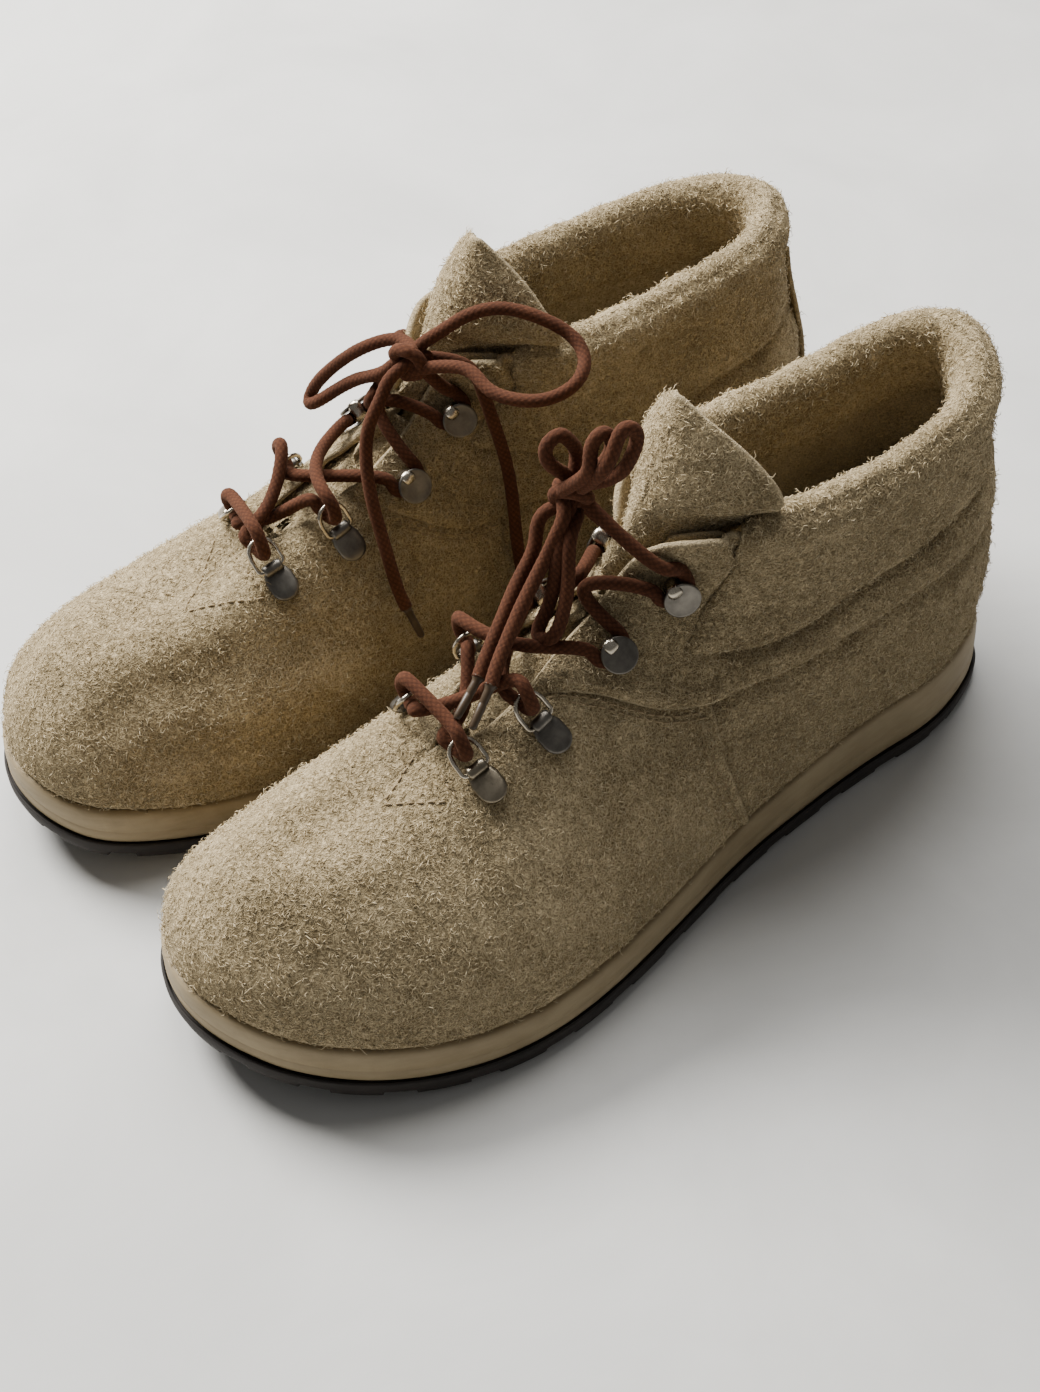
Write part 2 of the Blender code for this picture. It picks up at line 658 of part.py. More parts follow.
def tube(name, group, points, radius, closed, detail=2):
    """Round wire or cord through the points, as a mesh."""
    data = bpy.data.curves.new(name, "CURVE")
    data.dimensions = "3D"
    data.bevel_depth = radius
    data.bevel_resolution = detail
    data.use_fill_caps = not closed
    path = data.splines.new("POLY")
    path.points.add(len(points) - 1)
    for knot, place in zip(path.points, points):
        knot.co = (*map(float, place), 1)
    path.use_cyclic_u = closed
    obj = bpy.data.objects.new(name, data)
    group.objects.link(obj)
    bpy.context.view_layer.update()
    mesh = bpy.data.meshes.new_from_object(obj.evaluated_get(bpy.context.evaluated_depsgraph_get()))
    bpy.data.objects.remove(obj, do_unlink=True)
    bpy.data.curves.remove(data)
    result = bpy.data.objects.new(name, mesh)
    mesh.name = name
    group.objects.link(result)
    merge_close(result, 0.001)
    return result


def d_ring(boot, key, group, look):
    frame = ring_frame(D_RINGS[key])
    points = [(x, y, RING_TILT * x) for x, y in ring_line()]
    obj = tube(boot + "_d_ring_" + key, group, points, WIRE_RADIUS, True, 1)
    obj.data.transform(frame)
    return finish(obj, boot, look["nickel"], pivot=frame.translation)


def lace_hook(boot, key, group, look):
    """Speed hook: foot on the leather, bent neck, round head standing over the lace."""
    side, s, a = HOOKS[key]
    point, normal, up = skin_frame(side, s, a)
    frame = frame_matrix(point + normal * HOOK_GAP, up, np.cross(normal, up), normal)
    obj = box(boot + "_hook_" + key, group, (9.0, 6.0, 1.0), Matrix.Translation((-0.5, 0, 0.5)))
    neck = box("neck", group, (1.6, 4.4, HEAD_LIFT - 0.2), Matrix.Translation((3.0, 0, HEAD_LIFT / 2)))
    boolean(obj, neck, "UNION", group)
    head = rod("head", group, HEAD_RADIUS, HEAD_THICK, Matrix.Translation((-0.6, 0, HEAD_LIFT)), 14)
    boolean(obj, head, "UNION", group)
    obj.data.transform(frame)
    return finish(obj, boot, look["metal"], smooth=False)


# ---------------------------------------------------------------- lace

HOOK_PASS = 4.2                # lace's middle above the leather inside a hook
RING_PASS = 4.9                # lace's middle from the barrel inside a ring

# Bows of the two boots, mm in the boot's own frame, each from the knot outwards to the tip.
KNOT = {"left": (-11.0, -4.0, 137.0), "right": (-8.0, 0.0, 130.5)}
LOOPS = {
    "left": {LATERAL: (((0, -8, 152), (0, -6.5, 160), (1, -3.5, 164), (1.5, -1, 161), (-1, -1, 152)),
                       ((4, -6, 154), (6, -3.5, 162), (6, 0, 167), (7, 3, 165), (7, 2, 158), (2, -1, 148))),
             MEDIAL: (((-14, -1, 146), (-14, -3.5, 152), (-14, -7, 155.5), (-15, -10.5, 152.5),
                       (-14, -9.5, 146)),
                      ((-5, -13, 128), (-3, -17, 117), (-1.5, -21.5, 107), (0, -25.5, 101.5),
                       (4.3, -24.5, 102.5), (3.5, -19, 110), (0.5, -15, 119), (-3.5, -11, 129)))},
    "right": {MEDIAL: (((-12, 8, 138), (-15, 13.8, 142.5), (-20.4, 23.2, 146), (-30, 33.7, 144),
                        (-37.8, 39.4, 140), (-45.5, 38.7, 137), (-52, 31.3, 135), (-51.5, 22.3, 133),
                        (-46, 15.1, 132), (-36.5, 10.3, 132), (-25, 7.8, 133)),),
              LATERAL: (((-2, 0, 131.5), (7, -6, 127), (16, -12.5, 118), (24, -18, 107), (27.5, -20.5, 99.5),
                         (25.5, -22, 98), (18, -17.5, 105), (8, -11, 115), (-2, -6, 123)),)},
}
TAILS = {
    "left": {LATERAL: ((-8, -10, 134.5), (-6, -14, 129), (-6, -18.5, 121.5), (-4.6, -24.5, 115.5),
                       (-2.3, -30.5, 111), (0.2, -35.9, 107), (3.1, -41.6, 103), (6.3, -46.8, 99)),
             MEDIAL: ((-14, -12, 130.5), (-12.5, -17, 122.5), (-10.5, -23.5, 115.5), (-7.5, -30.5, 110.5),
                      (-4.6, -36.5, 106), (-2.0, -42, 101.8), (0.8, -47.2, 98))},
    "right": {MEDIAL: ((-16, 12, 127.5), (-22, 16.5, 118), (-25, 18.5, 106), (-26.5, 20.5, 95),
                       (-29, 21, 85), (-32, 20.5, 73), (-34.5, 20, 62), (-37, 20, 52)),
              LATERAL: ((-10, -7.5, 127), (-11, -13, 121), (-12.5, -18, 114.5), (-15, -21.5, 105),
                        (-21, -23.8, 94), (-26.5, -24.3, 84.5), (-32, -24.5, 75), (-36, -24, 65.5),
                        (-38.5, -23, 60))},
}
AGLET_WAY = {"left": {LATERAL: (0.36, -0.81, -0.6), MEDIAL: (0.34, -0.85, -0.45)},
             "right": {MEDIAL: (-0.13, 0.05, -1.0), LATERAL: (-0.2, 0.28, -1.0)}}


def hook_turn(key, other_end):
    """Lace round a hook's neck, from the heel side to the toe side."""
    side, s, a = HOOKS[key]
    point, normal, up = skin_frame(side, s, a)
    across = np.cross(normal, up) * side
    turn = [(6.5, -4.9), (3.2, -4.9), (0.3, -3.6), (-0.75, 0), (0.3, 3.6), (3.2, 4.9), (6.5, 4.9)]
    line = [point + up * x + across * y + normal * HOOK_PASS for x, y in turn]
    return line[::-1] if other_end else line


def ring_turn(key, from_above):
    """Lace round the bow of a ring: over it, down through the ring, back beneath it."""
    frame = ring_frame(D_RINGS[key])
    toe = D_RINGS[key][0]
    bow = RING_LONG - WIRE_RADIUS
    turn = [(bow + 4.5, -1.6, bow * RING_TILT + 4.6), (bow + 0.5, -1.2, bow * RING_TILT + 5.2),
            (RING_PASS + 0.3, -0.3, bow * RING_TILT + 2.4), (RING_PASS - 0.3, 0, RING_TILT * RING_PASS + 0.2),
            (RING_PASS + 0.9, 0.5, 0.9), (bow + 1.4, 1.2, 0.25), (bow + 4.5, 1.6, 0.6)]
    line = [np.array(frame @ Vector((x, y * toe, z))) for x, y, z in turn]
    return line if from_above else line[::-1]


def middle(s, lift):
    """Point above the ridge between the two sides."""
    point = (skin(LATERAL, s, 1.0) + skin(MEDIAL, s, 1.0)) / 2
    return point + np.array([0, -0.55, 0.83]) * lift


def above(side, s, a, lift):
    point, normal, _ = skin_frame(side, s, a)
    return point + normal * lift


def wrap(boot, start):
    """One turn of the lace about the knot."""
    centre = np.array(KNOT[boot])
    axis = np.array([0.45, -0.75, -0.48]) if boot == "left" else np.array([-0.5, -0.6, -0.2])
    axis /= np.linalg.norm(axis)
    first = np.cross(axis, (0, 0, 1.0))
    first /= np.linalg.norm(first)
    second = np.cross(axis, first)
    turn = [centre + (first * math.cos(t) + second * math.sin(t)) * 4.6 + axis * 0.6 * t
            for t in start + np.linspace(0, 1.6 * math.pi, 7)]
    return turn


def lace_route(boot):
    """Whole lace from the lateral tip through knot, hooks and rings and back to the medial tip."""
    knot = np.array(KNOT[boot])
    route = [np.array(p) for p in TAILS[boot][LATERAL][::-1]]
    route += wrap(boot, 0.0)
    for loop in LOOPS[boot][LATERAL]:
        route += [np.array(p) for p in loop]
        route.append(knot + np.array([1.5, 0, 1.0]))
    route += [knot + np.array([5.5, 1.0, -3.0]), above(LATERAL, 0.65, 0.95, 5.0)]
    route += hook_turn("h2_lateral", False)
    route += [middle(0.58, 3.6) + np.array([2.2, 0, 0])]
    route += hook_turn("h1_lateral", False)
    route += [middle(0.505, 8.2)]
    route += ring_turn("d2_medial", True)
    route += [middle(0.415, 3.4)]
    route += ring_turn("d1_lateral", False)
    route += ring_turn("d1_medial", True)
    route += [middle(0.425, 8.0)]
    route += ring_turn("d2_lateral", True)
    route += [middle(0.485, 4.8)]
    route += hook_turn("h1_medial", True)
    route += [middle(0.58, 3.6) - np.array([2.2, 0, 0])]
    route += hook_turn("h2_medial", True)
    route += [above(MEDIAL, 0.64, 0.90, 5.0), knot + np.array([-4.0, 2.0, -5.0])]
    for loop in LOOPS[boot][MEDIAL]:
        route.append(knot + np.array([-1.5, 0, 1.0]))
        route += [np.array(p) for p in loop]
    route += wrap(boot, math.pi)[::-1]
    route += [np.array(p) for p in TAILS[boot][MEDIAL]]
    return np.array(route)


def thin_out(line, most_turn, longest):
    """Keep the points where the line has turned or run far enough."""
    kept = [line[0]]
    turned = 0.0
    run = 0.0
    for before, here, after in zip(line[:-2], line[1:-1], line[2:]):
        a = here - before
        b = after - here
        cosine = float(a @ b / (np.linalg.norm(a) * np.linalg.norm(b) + 1e-12))
        turned += math.acos(max(-1.0, min(1.0, cosine)))
        run += float(np.linalg.norm(a))
        if turned > most_turn or run > longest:
            kept.append(here)
            turned = 0.0
            run = 0.0
    kept.append(line[-1])
    return kept


def smooth_route(route):
    along = np.concatenate([[0], np.cumsum(np.sqrt(np.linalg.norm(np.diff(route, axis=0), axis=1)))])
    return spline(along, route, np.linspace(0, along[-1], 1600))


def lace(boot, group, look):
    line = smooth_route(lace_route(boot))
    points = thin_out(line, math.radians(52), 30.0)
    obj = tube(boot + "_lace", group, points, LACE_RADIUS, False, 2)
    return finish(obj, boot, look["cord"])


def aglet(boot, side, group, look):
    start = np.array(TAILS[boot][side][-1], float)
    way = np.array(AGLET_WAY[boot][side], float)
    way /= np.linalg.norm(way)
    centre = start + way * (AGLET_LONG / 2 + 0.4)
    matrix = Matrix.Translation(centre) @ Vector(way).to_track_quat("Z", "Y").to_matrix().to_4x4()
    name = boot + ("_aglet_lateral" if side > 0 else "_aglet_medial")
    obj = rod(name, group, AGLET_RADIUS, AGLET_LONG, matrix, 10)
    return finish(obj, boot, look["tip"])


# ---------------------------------------------------------------- build

def looks():
    return {
        "suede": material("suede", (0.42, 0.31, 0.18), 0.95),
        "collar": material("collar_suede", (0.45, 0.34, 0.2), 0.95),
        "lining": material("lining_suede", (0.36, 0.27, 0.16), 0.95),
        "foam": material("tan_foam", (0.42, 0.32, 0.19), 0.6),
        "rubber": material("black_rubber", (0.02, 0.018, 0.016), 0.8),
        "board": material("fibre_board", (0.3, 0.22, 0.14), 0.9),
        "footbed": material("footbed_cloth", (0.75, 0.74, 0.7), 0.9),
        "steel": material("shank_steel", (0.6, 0.6, 0.6), 0.4, 1.0),
        "metal": material("gunmetal", (0.2, 0.19, 0.18), 0.35, 1.0),
        "nickel": material("nickel_wire", (0.55, 0.5, 0.42), 0.3, 1.0),
        "cord": material("rust_cord", (0.16, 0.045, 0.02), 0.9),
        "tip": material("lace_tip", (0.09, 0.05, 0.03), 0.4),
    }


def build_boot(boot, group, look):
    for make in (outsole, midsole, shank, insole_board, footbed, vamp, quarter, lining,
                 heel_counter, backstay, collar, tongue):
        make(boot, group, look)
    for side in (LATERAL, MEDIAL):
        ankle_panel(boot, side, group, look)
        aglet(boot, side, group, look)
    lace(boot, group, look)
    for key in D_RINGS:
        ring_plate(boot, key, group, look)
        d_ring(boot, key, group, look)
    for key in HOOKS:
        lace_hook(boot, key, group, look)


def main():
    clear_scene()
    group = collection(COLLECTION)
    look = looks()
    for boot in BOOTS:
        build_boot(boot, group, look)


main()
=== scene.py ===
import json
import math

import bpy
import numpy as np
from mathutils import Matrix, Vector
from mathutils.kdtree import KDTree

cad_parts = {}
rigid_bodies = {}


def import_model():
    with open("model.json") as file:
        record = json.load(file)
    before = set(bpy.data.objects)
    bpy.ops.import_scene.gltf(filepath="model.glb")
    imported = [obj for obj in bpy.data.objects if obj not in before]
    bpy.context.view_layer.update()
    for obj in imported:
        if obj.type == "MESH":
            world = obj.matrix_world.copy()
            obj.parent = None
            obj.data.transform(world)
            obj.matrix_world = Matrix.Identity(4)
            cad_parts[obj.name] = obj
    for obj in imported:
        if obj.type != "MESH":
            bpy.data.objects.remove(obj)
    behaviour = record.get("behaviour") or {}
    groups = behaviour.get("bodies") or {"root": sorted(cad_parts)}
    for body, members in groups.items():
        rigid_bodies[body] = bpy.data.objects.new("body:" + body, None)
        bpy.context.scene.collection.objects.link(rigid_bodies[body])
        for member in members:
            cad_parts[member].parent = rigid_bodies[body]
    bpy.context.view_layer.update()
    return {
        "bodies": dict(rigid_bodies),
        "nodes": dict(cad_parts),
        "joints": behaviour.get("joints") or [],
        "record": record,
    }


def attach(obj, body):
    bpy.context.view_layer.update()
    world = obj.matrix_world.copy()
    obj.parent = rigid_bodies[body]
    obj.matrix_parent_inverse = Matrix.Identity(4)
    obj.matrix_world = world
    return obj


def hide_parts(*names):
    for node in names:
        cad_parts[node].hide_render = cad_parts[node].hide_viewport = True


# A pair of lace-up suede deck boots. Lengths are in mm in each boot's own frame (toe to -Y, X to the
# outer side) until a mesh is carried onto its boot in the row frame, in metres.

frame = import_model()

MM = 0.001
GAP = 0.3
LATERAL = 1
MEDIAL = -1
# Each boot: mirror of X, where its middle stands and how its toe is splayed.
BOOTS = {
    "left": (1.0, 52.7, 2.7, math.radians(3.3)),
    "right": (-1.0, -52.7, -2.7, math.radians(-3.3)),
}

# Camera: azimuth and elevation of the line of sight, roll, lens and place.
CAMERA_AZIMUTH = math.radians(58.50)
CAMERA_ELEVATION = math.radians(46.03)
CAMERA_ROLL = math.radians(-2.02)
CAMERA_LENS = 55.0
CAMERA_PLACE = (0.4189, -0.2531, 0.5237)

# Outsole outline: y, lateral x, medial x.
OUTLINE = np.array([
    (-152.5, -7, -7), (-148, 13, -27), (-138, 29, -40), (-120, 44, -48), (-95, 55, -53.5),
    (-65, 60, -54), (-35, 57, -47), (-5, 50, -39), (25, 43, -34), (55, 39, -33), (85, 37, -35),
    (110, 36, -36.5), (130, 30, -32), (145, 20, -21), (152.5, 0, 0)], float)
TOE_SPRING = 13.0
SPRING_START = -70.0
SPRING_LENGTH = 82.5
OUTSOLE_THICK = 6.6
FEATHER_INSET = 5.0
MIDSOLE_TOP_Y = (-152.5, -110, -65, -10, 40, 90, 152.5)
MIDSOLE_TOP_Z = (20, 19, 18, 19, 22, 25.5, 27)

# The upper's top edge: s along the side, x, y, z, how steep the wall is, bulge, inner side's shift.
TOP = np.array([
    (0.00, -3, -112, 65, 0, 2, 0), (0.08, -3, -109, 65, 0, 2, 0), (0.16, -3, -100, 65.5, 0, 1.5, 0),
    (0.24, -3, -86, 67.5, 0, 1, 0), (0.33, -3, -67, 73, 0, 1, 0), (0.42, -3, -48, 81.5, 0, 2, 0),
    (0.50, -3, -29.5, 92.5, 0.1, 2.5, 0), (0.57, -1, -10.5, 106.5, 0.3, 2.5, 0),
    (0.64, 8, 5, 123.5, 0.6, 3.5, 1.5), (0.70, 21.5, 22, 127, 0.9, 4, 2.5),
    (0.78, 31, 54, 126, 1, 4, 4.5), (0.86, 32.5, 90, 128, 1, 4, 9),
    (0.93, 25.5, 121, 132.5, 1, 3, 6), (1.00, 0, 137, 138, 1, 3, 0)], float)
HEEL_TURN = -400.0
DOME_ACROSS = np.array([0, 0, 0.22, 0.57, 0.76, 1])
DOME_UP = {LATERAL: np.array([0, 0.25, 0.56, 0.92, 1.01, 1]),
           MEDIAL: np.array([0, 0.30, 0.66, 1.05, 1.06, 1])}
WALL_ACROSS = np.array([0, 0, 0.15, 0.55, 0.9, 1])
WALL_UP = np.array([0, 0.16, 0.38, 0.62, 0.84, 1])
WALL_OUT = np.array([0, 1, 1, -0.3, -0.9, 0])
DOME_OUT = np.array([0, 1, 1, 0.3, 0, 0])
KNOTS = np.array([0, 0, 0, 0, 1 / 3, 2 / 3, 1, 1, 1, 1])
SIDES_BLEND = 0.27

# Seams of the upper: height a (0 sole, 1 top edge) at places s along each side.
THROAT = {LATERAL: ((0.36, 1.0), (0.40, 0.93), (0.475, 0.91), (0.52, 0.925)),
          MEDIAL: ((0.36, 1.0), (0.40, 0.88), (0.475, 0.82), (0.52, 0.81))}
PANEL_SEAM = {LATERAL: ((0.475, 0.89), (0.505, 0.76), (0.545, 0.51), (0.59, 0.40), (0.66, 0.38),
                        (0.745, 0.45), (0.81, 0.47), (0.87, 0.455), (1.0, 0.44)),
              MEDIAL: ((0.475, 0.79), (0.505, 0.52), (0.54, 0.37), (0.58, 0.33), (0.66, 0.33),
                       (0.745, 0.43), (0.81, 0.47), (0.87, 0.455), (1.0, 0.44))}
PANEL_TOP = {LATERAL: ((0.475, 0.91), (0.52, 0.925), (0.562, 0.925), (0.60, 0.94), (0.64, 0.975),
                       (0.66, 0.995), (0.70, 1.0), (0.72, 0.98), (0.75, 0.92), (1.0, 0.92)),
             MEDIAL: ((0.475, 0.81), (0.50, 0.80), (0.565, 0.82), (0.61, 0.87), (0.64, 0.93),
                      (0.665, 0.985), (0.70, 1.0), (0.72, 0.98), (0.75, 0.92), (1.0, 0.92))}
SIDE_SEAM = ((0.0, 0.592), (0.12, 0.577), (0.244, 0.573), (0.40, 0.588), (1.0, 0.588))
PAD_LOW = ((0.602, 0.585), (0.607, 0.555), (0.62, 0.525), (0.66, 0.50), (0.71, 0.56), (0.77, 0.64),
           (0.878, 0.675), (1.0, 0.69))
PAD_HIGH = ((0.602, 0.585), (0.614, 0.625), (0.645, 0.70), (0.685, 0.81), (0.72, 0.94))
UPPER_THICK = 1.8
LINING_THICK = 1.4
RIM_ROUND = 0.4                # how far a cut edge bulges, as a share of the thickness
SIDE_SEAM_TOP = 0.588          # s where the side seam ends
PAD_FRONT = 0.602              # s where the collar pad begins
SEAM_EASE = 0.016              # how far each side of a corner a seam is rounded, along s
COLLAR_DEPTH = 4.6
COLLAR_HALF_WIDE = 5.4
COLLAR_HALF_TALL = 6.6
ROLL_INNER = 3.2
ROLL_START = 0.705             # where along the side the rim starts to roll over

# Lace hardware: side, s, a on the upper.
D_RINGS = {"d1_lateral": (LATERAL, 0.372, 0.80), "d2_lateral": (LATERAL, 0.455, 0.755),
           "d1_medial": (MEDIAL, 0.358, 0.70), "d2_medial": (MEDIAL, 0.442, 0.625)}
HOOKS = {"h1_lateral": (LATERAL, 0.548, 0.775), "h2_lateral": (LATERAL, 0.636, 0.81),
         "h1_medial": (MEDIAL, 0.525, 0.63), "h2_medial": (MEDIAL, 0.612, 0.735)}
PLATE_WIDE = 9.0
PLATE_LONG = 11.0
BARREL_RADIUS = 2.0
BARREL_LONG = 6.4
WIRE_RADIUS = 0.75
RING_WIDE = 10.5
RING_LONG = 9.4
RING_TILT = 0.45
HEAD_RADIUS = 5.5
HEAD_THICK = 1.1
HEAD_LIFT = 6.4
HOOK_GAP = 0.8
LACE_RADIUS = 2.1


# ---------------------------------------------------------------- curves and the boot's surface

def arc_length(line):
    """Distance of each point of a line from its start."""
    return np.concatenate([[0], np.cumsum(np.linalg.norm(np.diff(line, axis=0), axis=1))])


def read_line(at, along, line):
    """Points of a line, whose points lie at the distances along, read at the distances at."""
    return np.stack([np.interp(at, along, line[:, k]) for k in range(line.shape[1])], -1)


def spline(xs, ys, x, slopes=None):
    """Smooth cubic through (xs, ys) read at x; slopes gives the two end slopes."""
    xs = np.asarray(xs, float)
    ys = np.asarray(ys, float)
    count = len(xs)
    step = np.diff(xs)
    rise = np.diff(ys, axis=0) / (step if ys.ndim == 1 else step[:, None])
    matrix = np.zeros((count, count))
    right = np.zeros_like(ys)
    matrix[0, 0] = matrix[-1, -1] = 1
    for i in range(1, count - 1):
        matrix[i, i - 1:i + 2] = step[i - 1], 2 * (step[i - 1] + step[i]), step[i]
        right[i] = 6 * (rise[i] - rise[i - 1])
    if slopes is not None:
        matrix[0, :2] = 2 * step[0], step[0]
        matrix[-1, -2:] = step[-1], 2 * step[-1]
        right[0] = 6 * (rise[0] - slopes[0])
        right[-1] = 6 * (slopes[1] - rise[-1])
    bend = np.linalg.solve(matrix, right)
    x = np.clip(np.asarray(x, float), xs[0], xs[-1])
    i = np.clip(np.searchsorted(xs, x, side="right") - 1, 0, count - 2)
    t = x - xs[i]
    h = step[i]
    if ys.ndim > 1:
        t = t[..., None]
        h = h[..., None]
    slope = rise[i] - h * (2 * bend[i] + bend[i + 1]) / 6
    return ys[i] + t * slope + t * t * bend[i] / 2 + t ** 3 * (bend[i + 1] - bend[i]) / (6 * h)


def spring(y):
    """How far the sole curves up from the floor toward the toe."""
    return TOE_SPRING * np.clip((SPRING_START - np.asarray(y)) / SPRING_LENGTH, 0, 1) ** 2


def midsole_top(y):
    return spline(MIDSOLE_TOP_Y, MIDSOLE_TOP_Z, y) + spring(y)


def side_outline(side, inset, count=241):
    """One side of the sole outline from toe to heel, moved inwards by inset."""
    points = np.column_stack([OUTLINE[:, 1] if side > 0 else OUTLINE[:, 2], OUTLINE[:, 0]])
    along = arc_length(points)
    ends = (np.array([side, 0.0]), np.array([-side, 0.0]))
    fine = spline(along, points, np.linspace(0, along[-1], 2000), ends)
    along = arc_length(fine)
    even = np.linspace(0, along[-1], count)
    line = read_line(even, along, fine)
    tangent = np.gradient(line, axis=0)
    tangent /= np.linalg.norm(tangent, axis=1)[:, None]
    tangent[0] = ends[0]
    tangent[-1] = ends[1]
    inwards = np.column_stack([-tangent[:, 1], tangent[:, 0]]) * side
    return line + inwards * inset, inwards


FEATHER = {side: side_outline(side, FEATHER_INSET) for side in (LATERAL, MEDIAL)}


def basis(a):
    """Cubic B-spline weights of six control points at a."""
    a = np.clip(np.asarray(a, float), 0, 1 - 1e-12)
    weights = [((a >= KNOTS[i]) & (a < KNOTS[i + 1])).astype(float) for i in range(9)]
    for degree in range(1, 4):
        following = []
        for i in range(9 - degree):
            left = KNOTS[i + degree] - KNOTS[i]
            right = KNOTS[i + degree + 1] - KNOTS[i + 1]
            rising = (a - KNOTS[i]) / left * weights[i] if left else 0 * a
            falling = (KNOTS[i + degree + 1] - a) / right * weights[i + 1] if right else 0 * a
            following.append(rising + falling)
        weights = following
    return np.stack(weights, -1)


def skin(side, s, a):
    """Point on the upper's outer surface, mm: s along the side, a from the sole to the top edge."""
    s, a = np.broadcast_arrays(np.asarray(s, float), np.asarray(a, float))
    line, inwards = FEATHER[side]
    even = np.linspace(0, 1, len(line))
    foot = read_line(s, even, line)
    out = -read_line(s, even, inwards)
    slopes = (np.zeros(6), np.array([HEEL_TURN, 0, 0, 0, 0, 0]))
    top = spline(TOP[:, 0], TOP[:, 1:], s, slopes)
    top_x = top[..., 0]
    if side < 0:
        top_x = 2 * np.interp(s, (0, 0.5, 0.6, 1), (-3, -3, 0, 0)) - top_x + top[..., 5]
    steep = np.clip(top[..., 3], 0, 1)[..., None]
    foot_z = midsole_top(foot[..., 1]) + GAP
    reach = np.stack([top_x - foot[..., 0], top[..., 1] - foot[..., 1]], -1)
    across = (1 - steep) * DOME_ACROSS + steep * WALL_ACROSS
    own = np.clip(s / SIDES_BLEND, 0, 1)[..., None]
    both = (DOME_UP[LATERAL] + DOME_UP[MEDIAL]) / 2
    up = (1 - steep) * (both + (DOME_UP[side] - both) * own) + steep * WALL_UP
    bulge = top[..., 4][..., None] * ((1 - steep) * DOME_OUT + steep * WALL_OUT)
    plan = foot[..., None, :] + reach[..., None, :] * across[..., None]
    plan = plan + out[..., None, :] * bulge[..., None]
    height = foot_z[..., None] + (top[..., 2] - foot_z)[..., None] * up
    control = np.concatenate([plan, height[..., None]], -1)
    return np.einsum("...k,...kd->...d", basis(a), control)


def skin_frame(side, s, a):
    """Point, outward normal and the direction toward the toe on the upper."""
    here = skin(side, s, a)
    toward_toe = skin(side, s - 0.01, a) - here
    up = skin(side, s, a + 0.01) - here
    normal = np.cross(up, toward_toe) * side
    normal /= np.linalg.norm(normal)
    up -= normal * (up @ normal)
    return here, normal, up / np.linalg.norm(up)


def read_seam(seam, s):
    """Height a of a seam at s, eased round its corners."""
    at = np.array(seam)
    shifts = np.linspace(-1, 1, 7) * SEAM_EASE
    return np.mean([np.interp(np.asarray(s) + shift, at[:, 0], at[:, 1]) for shift in shifts], axis=0)


def boot_matrix(boot):
    mirror, x, y, splay = BOOTS[boot]
    turn = Matrix.Translation((x * MM, y * MM, 0)) @ Matrix.Rotation(splay, 4, "Z")
    return turn @ Matrix.Diagonal((mirror * MM, MM, MM, 1))


def frame_matrix(origin, x_axis, y_axis, z_axis):
    matrix = Matrix.Identity(4)
    for column, axis in enumerate((x_axis, y_axis, z_axis, origin)):
        for row in range(3):
            matrix[row][column] = float(axis[row])
    return matrix


def ring_frame(place):
    """Frame of a D-ring fitting: x toward the throat, z out of the leather, origin on the barrel."""
    side, s, a = place
    point, normal, up = skin_frame(side, s, a)
    sideways = np.cross(normal, up)
    origin = point + normal * (BARREL_RADIUS + GAP) + up * 3.0
    return frame_matrix(origin, up, sideways, normal)


def ring_line():
    """Middle line of the D-shaped wire: straight bar in the barrel, round bow toward the throat."""
    half = RING_WIDE / 2 - WIRE_RADIUS
    bow = RING_LONG - half
    line = [(0, -half + 0.8), (0, half - 0.8), (0.8, half)]
    line += [(bow + half * math.sin(t), half * math.cos(t)) for t in np.linspace(0.0, math.pi, 7)]
    line += [(0.8, -half)]
    return line


# ---------------------------------------------------------------- meshes from grids of points

CUT_OUTER = 0.5                # how much of the cut edge's pale colour spreads onto the two faces
CUT_INNER = 0.7


def smooth_step(x, low, high):
    t = np.clip((np.asarray(x, float) - low) / (high - low), 0, 1)
    return t * t * (3 - 2 * t)


def corner_value(cell, seed):
    """A fixed pseudo-random number from -1 to 1 for each lattice cell."""
    mixed = cell[..., 0] * 73856093 ^ cell[..., 1] * 19349663 ^ cell[..., 2] * 83492791 ^ seed * 2654435761
    mixed = ((mixed ^ (mixed >> 13)) * 1274126177) & 0xFFFFFFFF
    return ((mixed >> 7) & 0xFFFF) / 32767.5 - 1


def noise(points, size, seed):
    """Smooth value noise over points, -1 to 1, with bumps about size across."""
    scaled = np.asarray(points, float) / size + 100.0
    cell = np.floor(scaled).astype(np.int64)
    part = scaled - cell
    part = part * part * (3 - 2 * part)
    total = np.zeros(scaled.shape[:-1])
    for dx in (0, 1):
        for dy in (0, 1):
            for dz in (0, 1):
                step = np.array([dx, dy, dz])
                weight = np.prod(np.where(step, part, 1 - part), axis=-1)
                total += weight * corner_value(cell + step, seed)
    return total


def nearest_tree(places):
    tree = KDTree(len(places))
    for i, place in enumerate(places):
        tree.insert(place, i)
    tree.balance()
    return tree


def distance_to(points, line):
    """Distance of each point from a densely sampled line."""
    tree = nearest_tree(line)
    return np.array([tree.find(place)[2] for place in points])


def grid_faces(rows, columns, ring=False, first=0):
    i, j = np.meshgrid(np.arange(rows - 1), np.arange(columns if ring else columns - 1), indexing="ij")
    k = (j + 1) % columns
    a = first + i * columns
    b = a + columns
    return np.stack([a + j, a + k, b + k, b + j], -1).reshape(-1, 4)


def join(blocks):
    """One mesh from several pairs of points and faces."""
    points = []
    faces = []
    count = 0
    for block_points, block_faces in blocks:
        points.append(block_points)
        faces.append(block_faces + count)
        count += len(block_points)
    return np.concatenate(points), np.concatenate(faces)


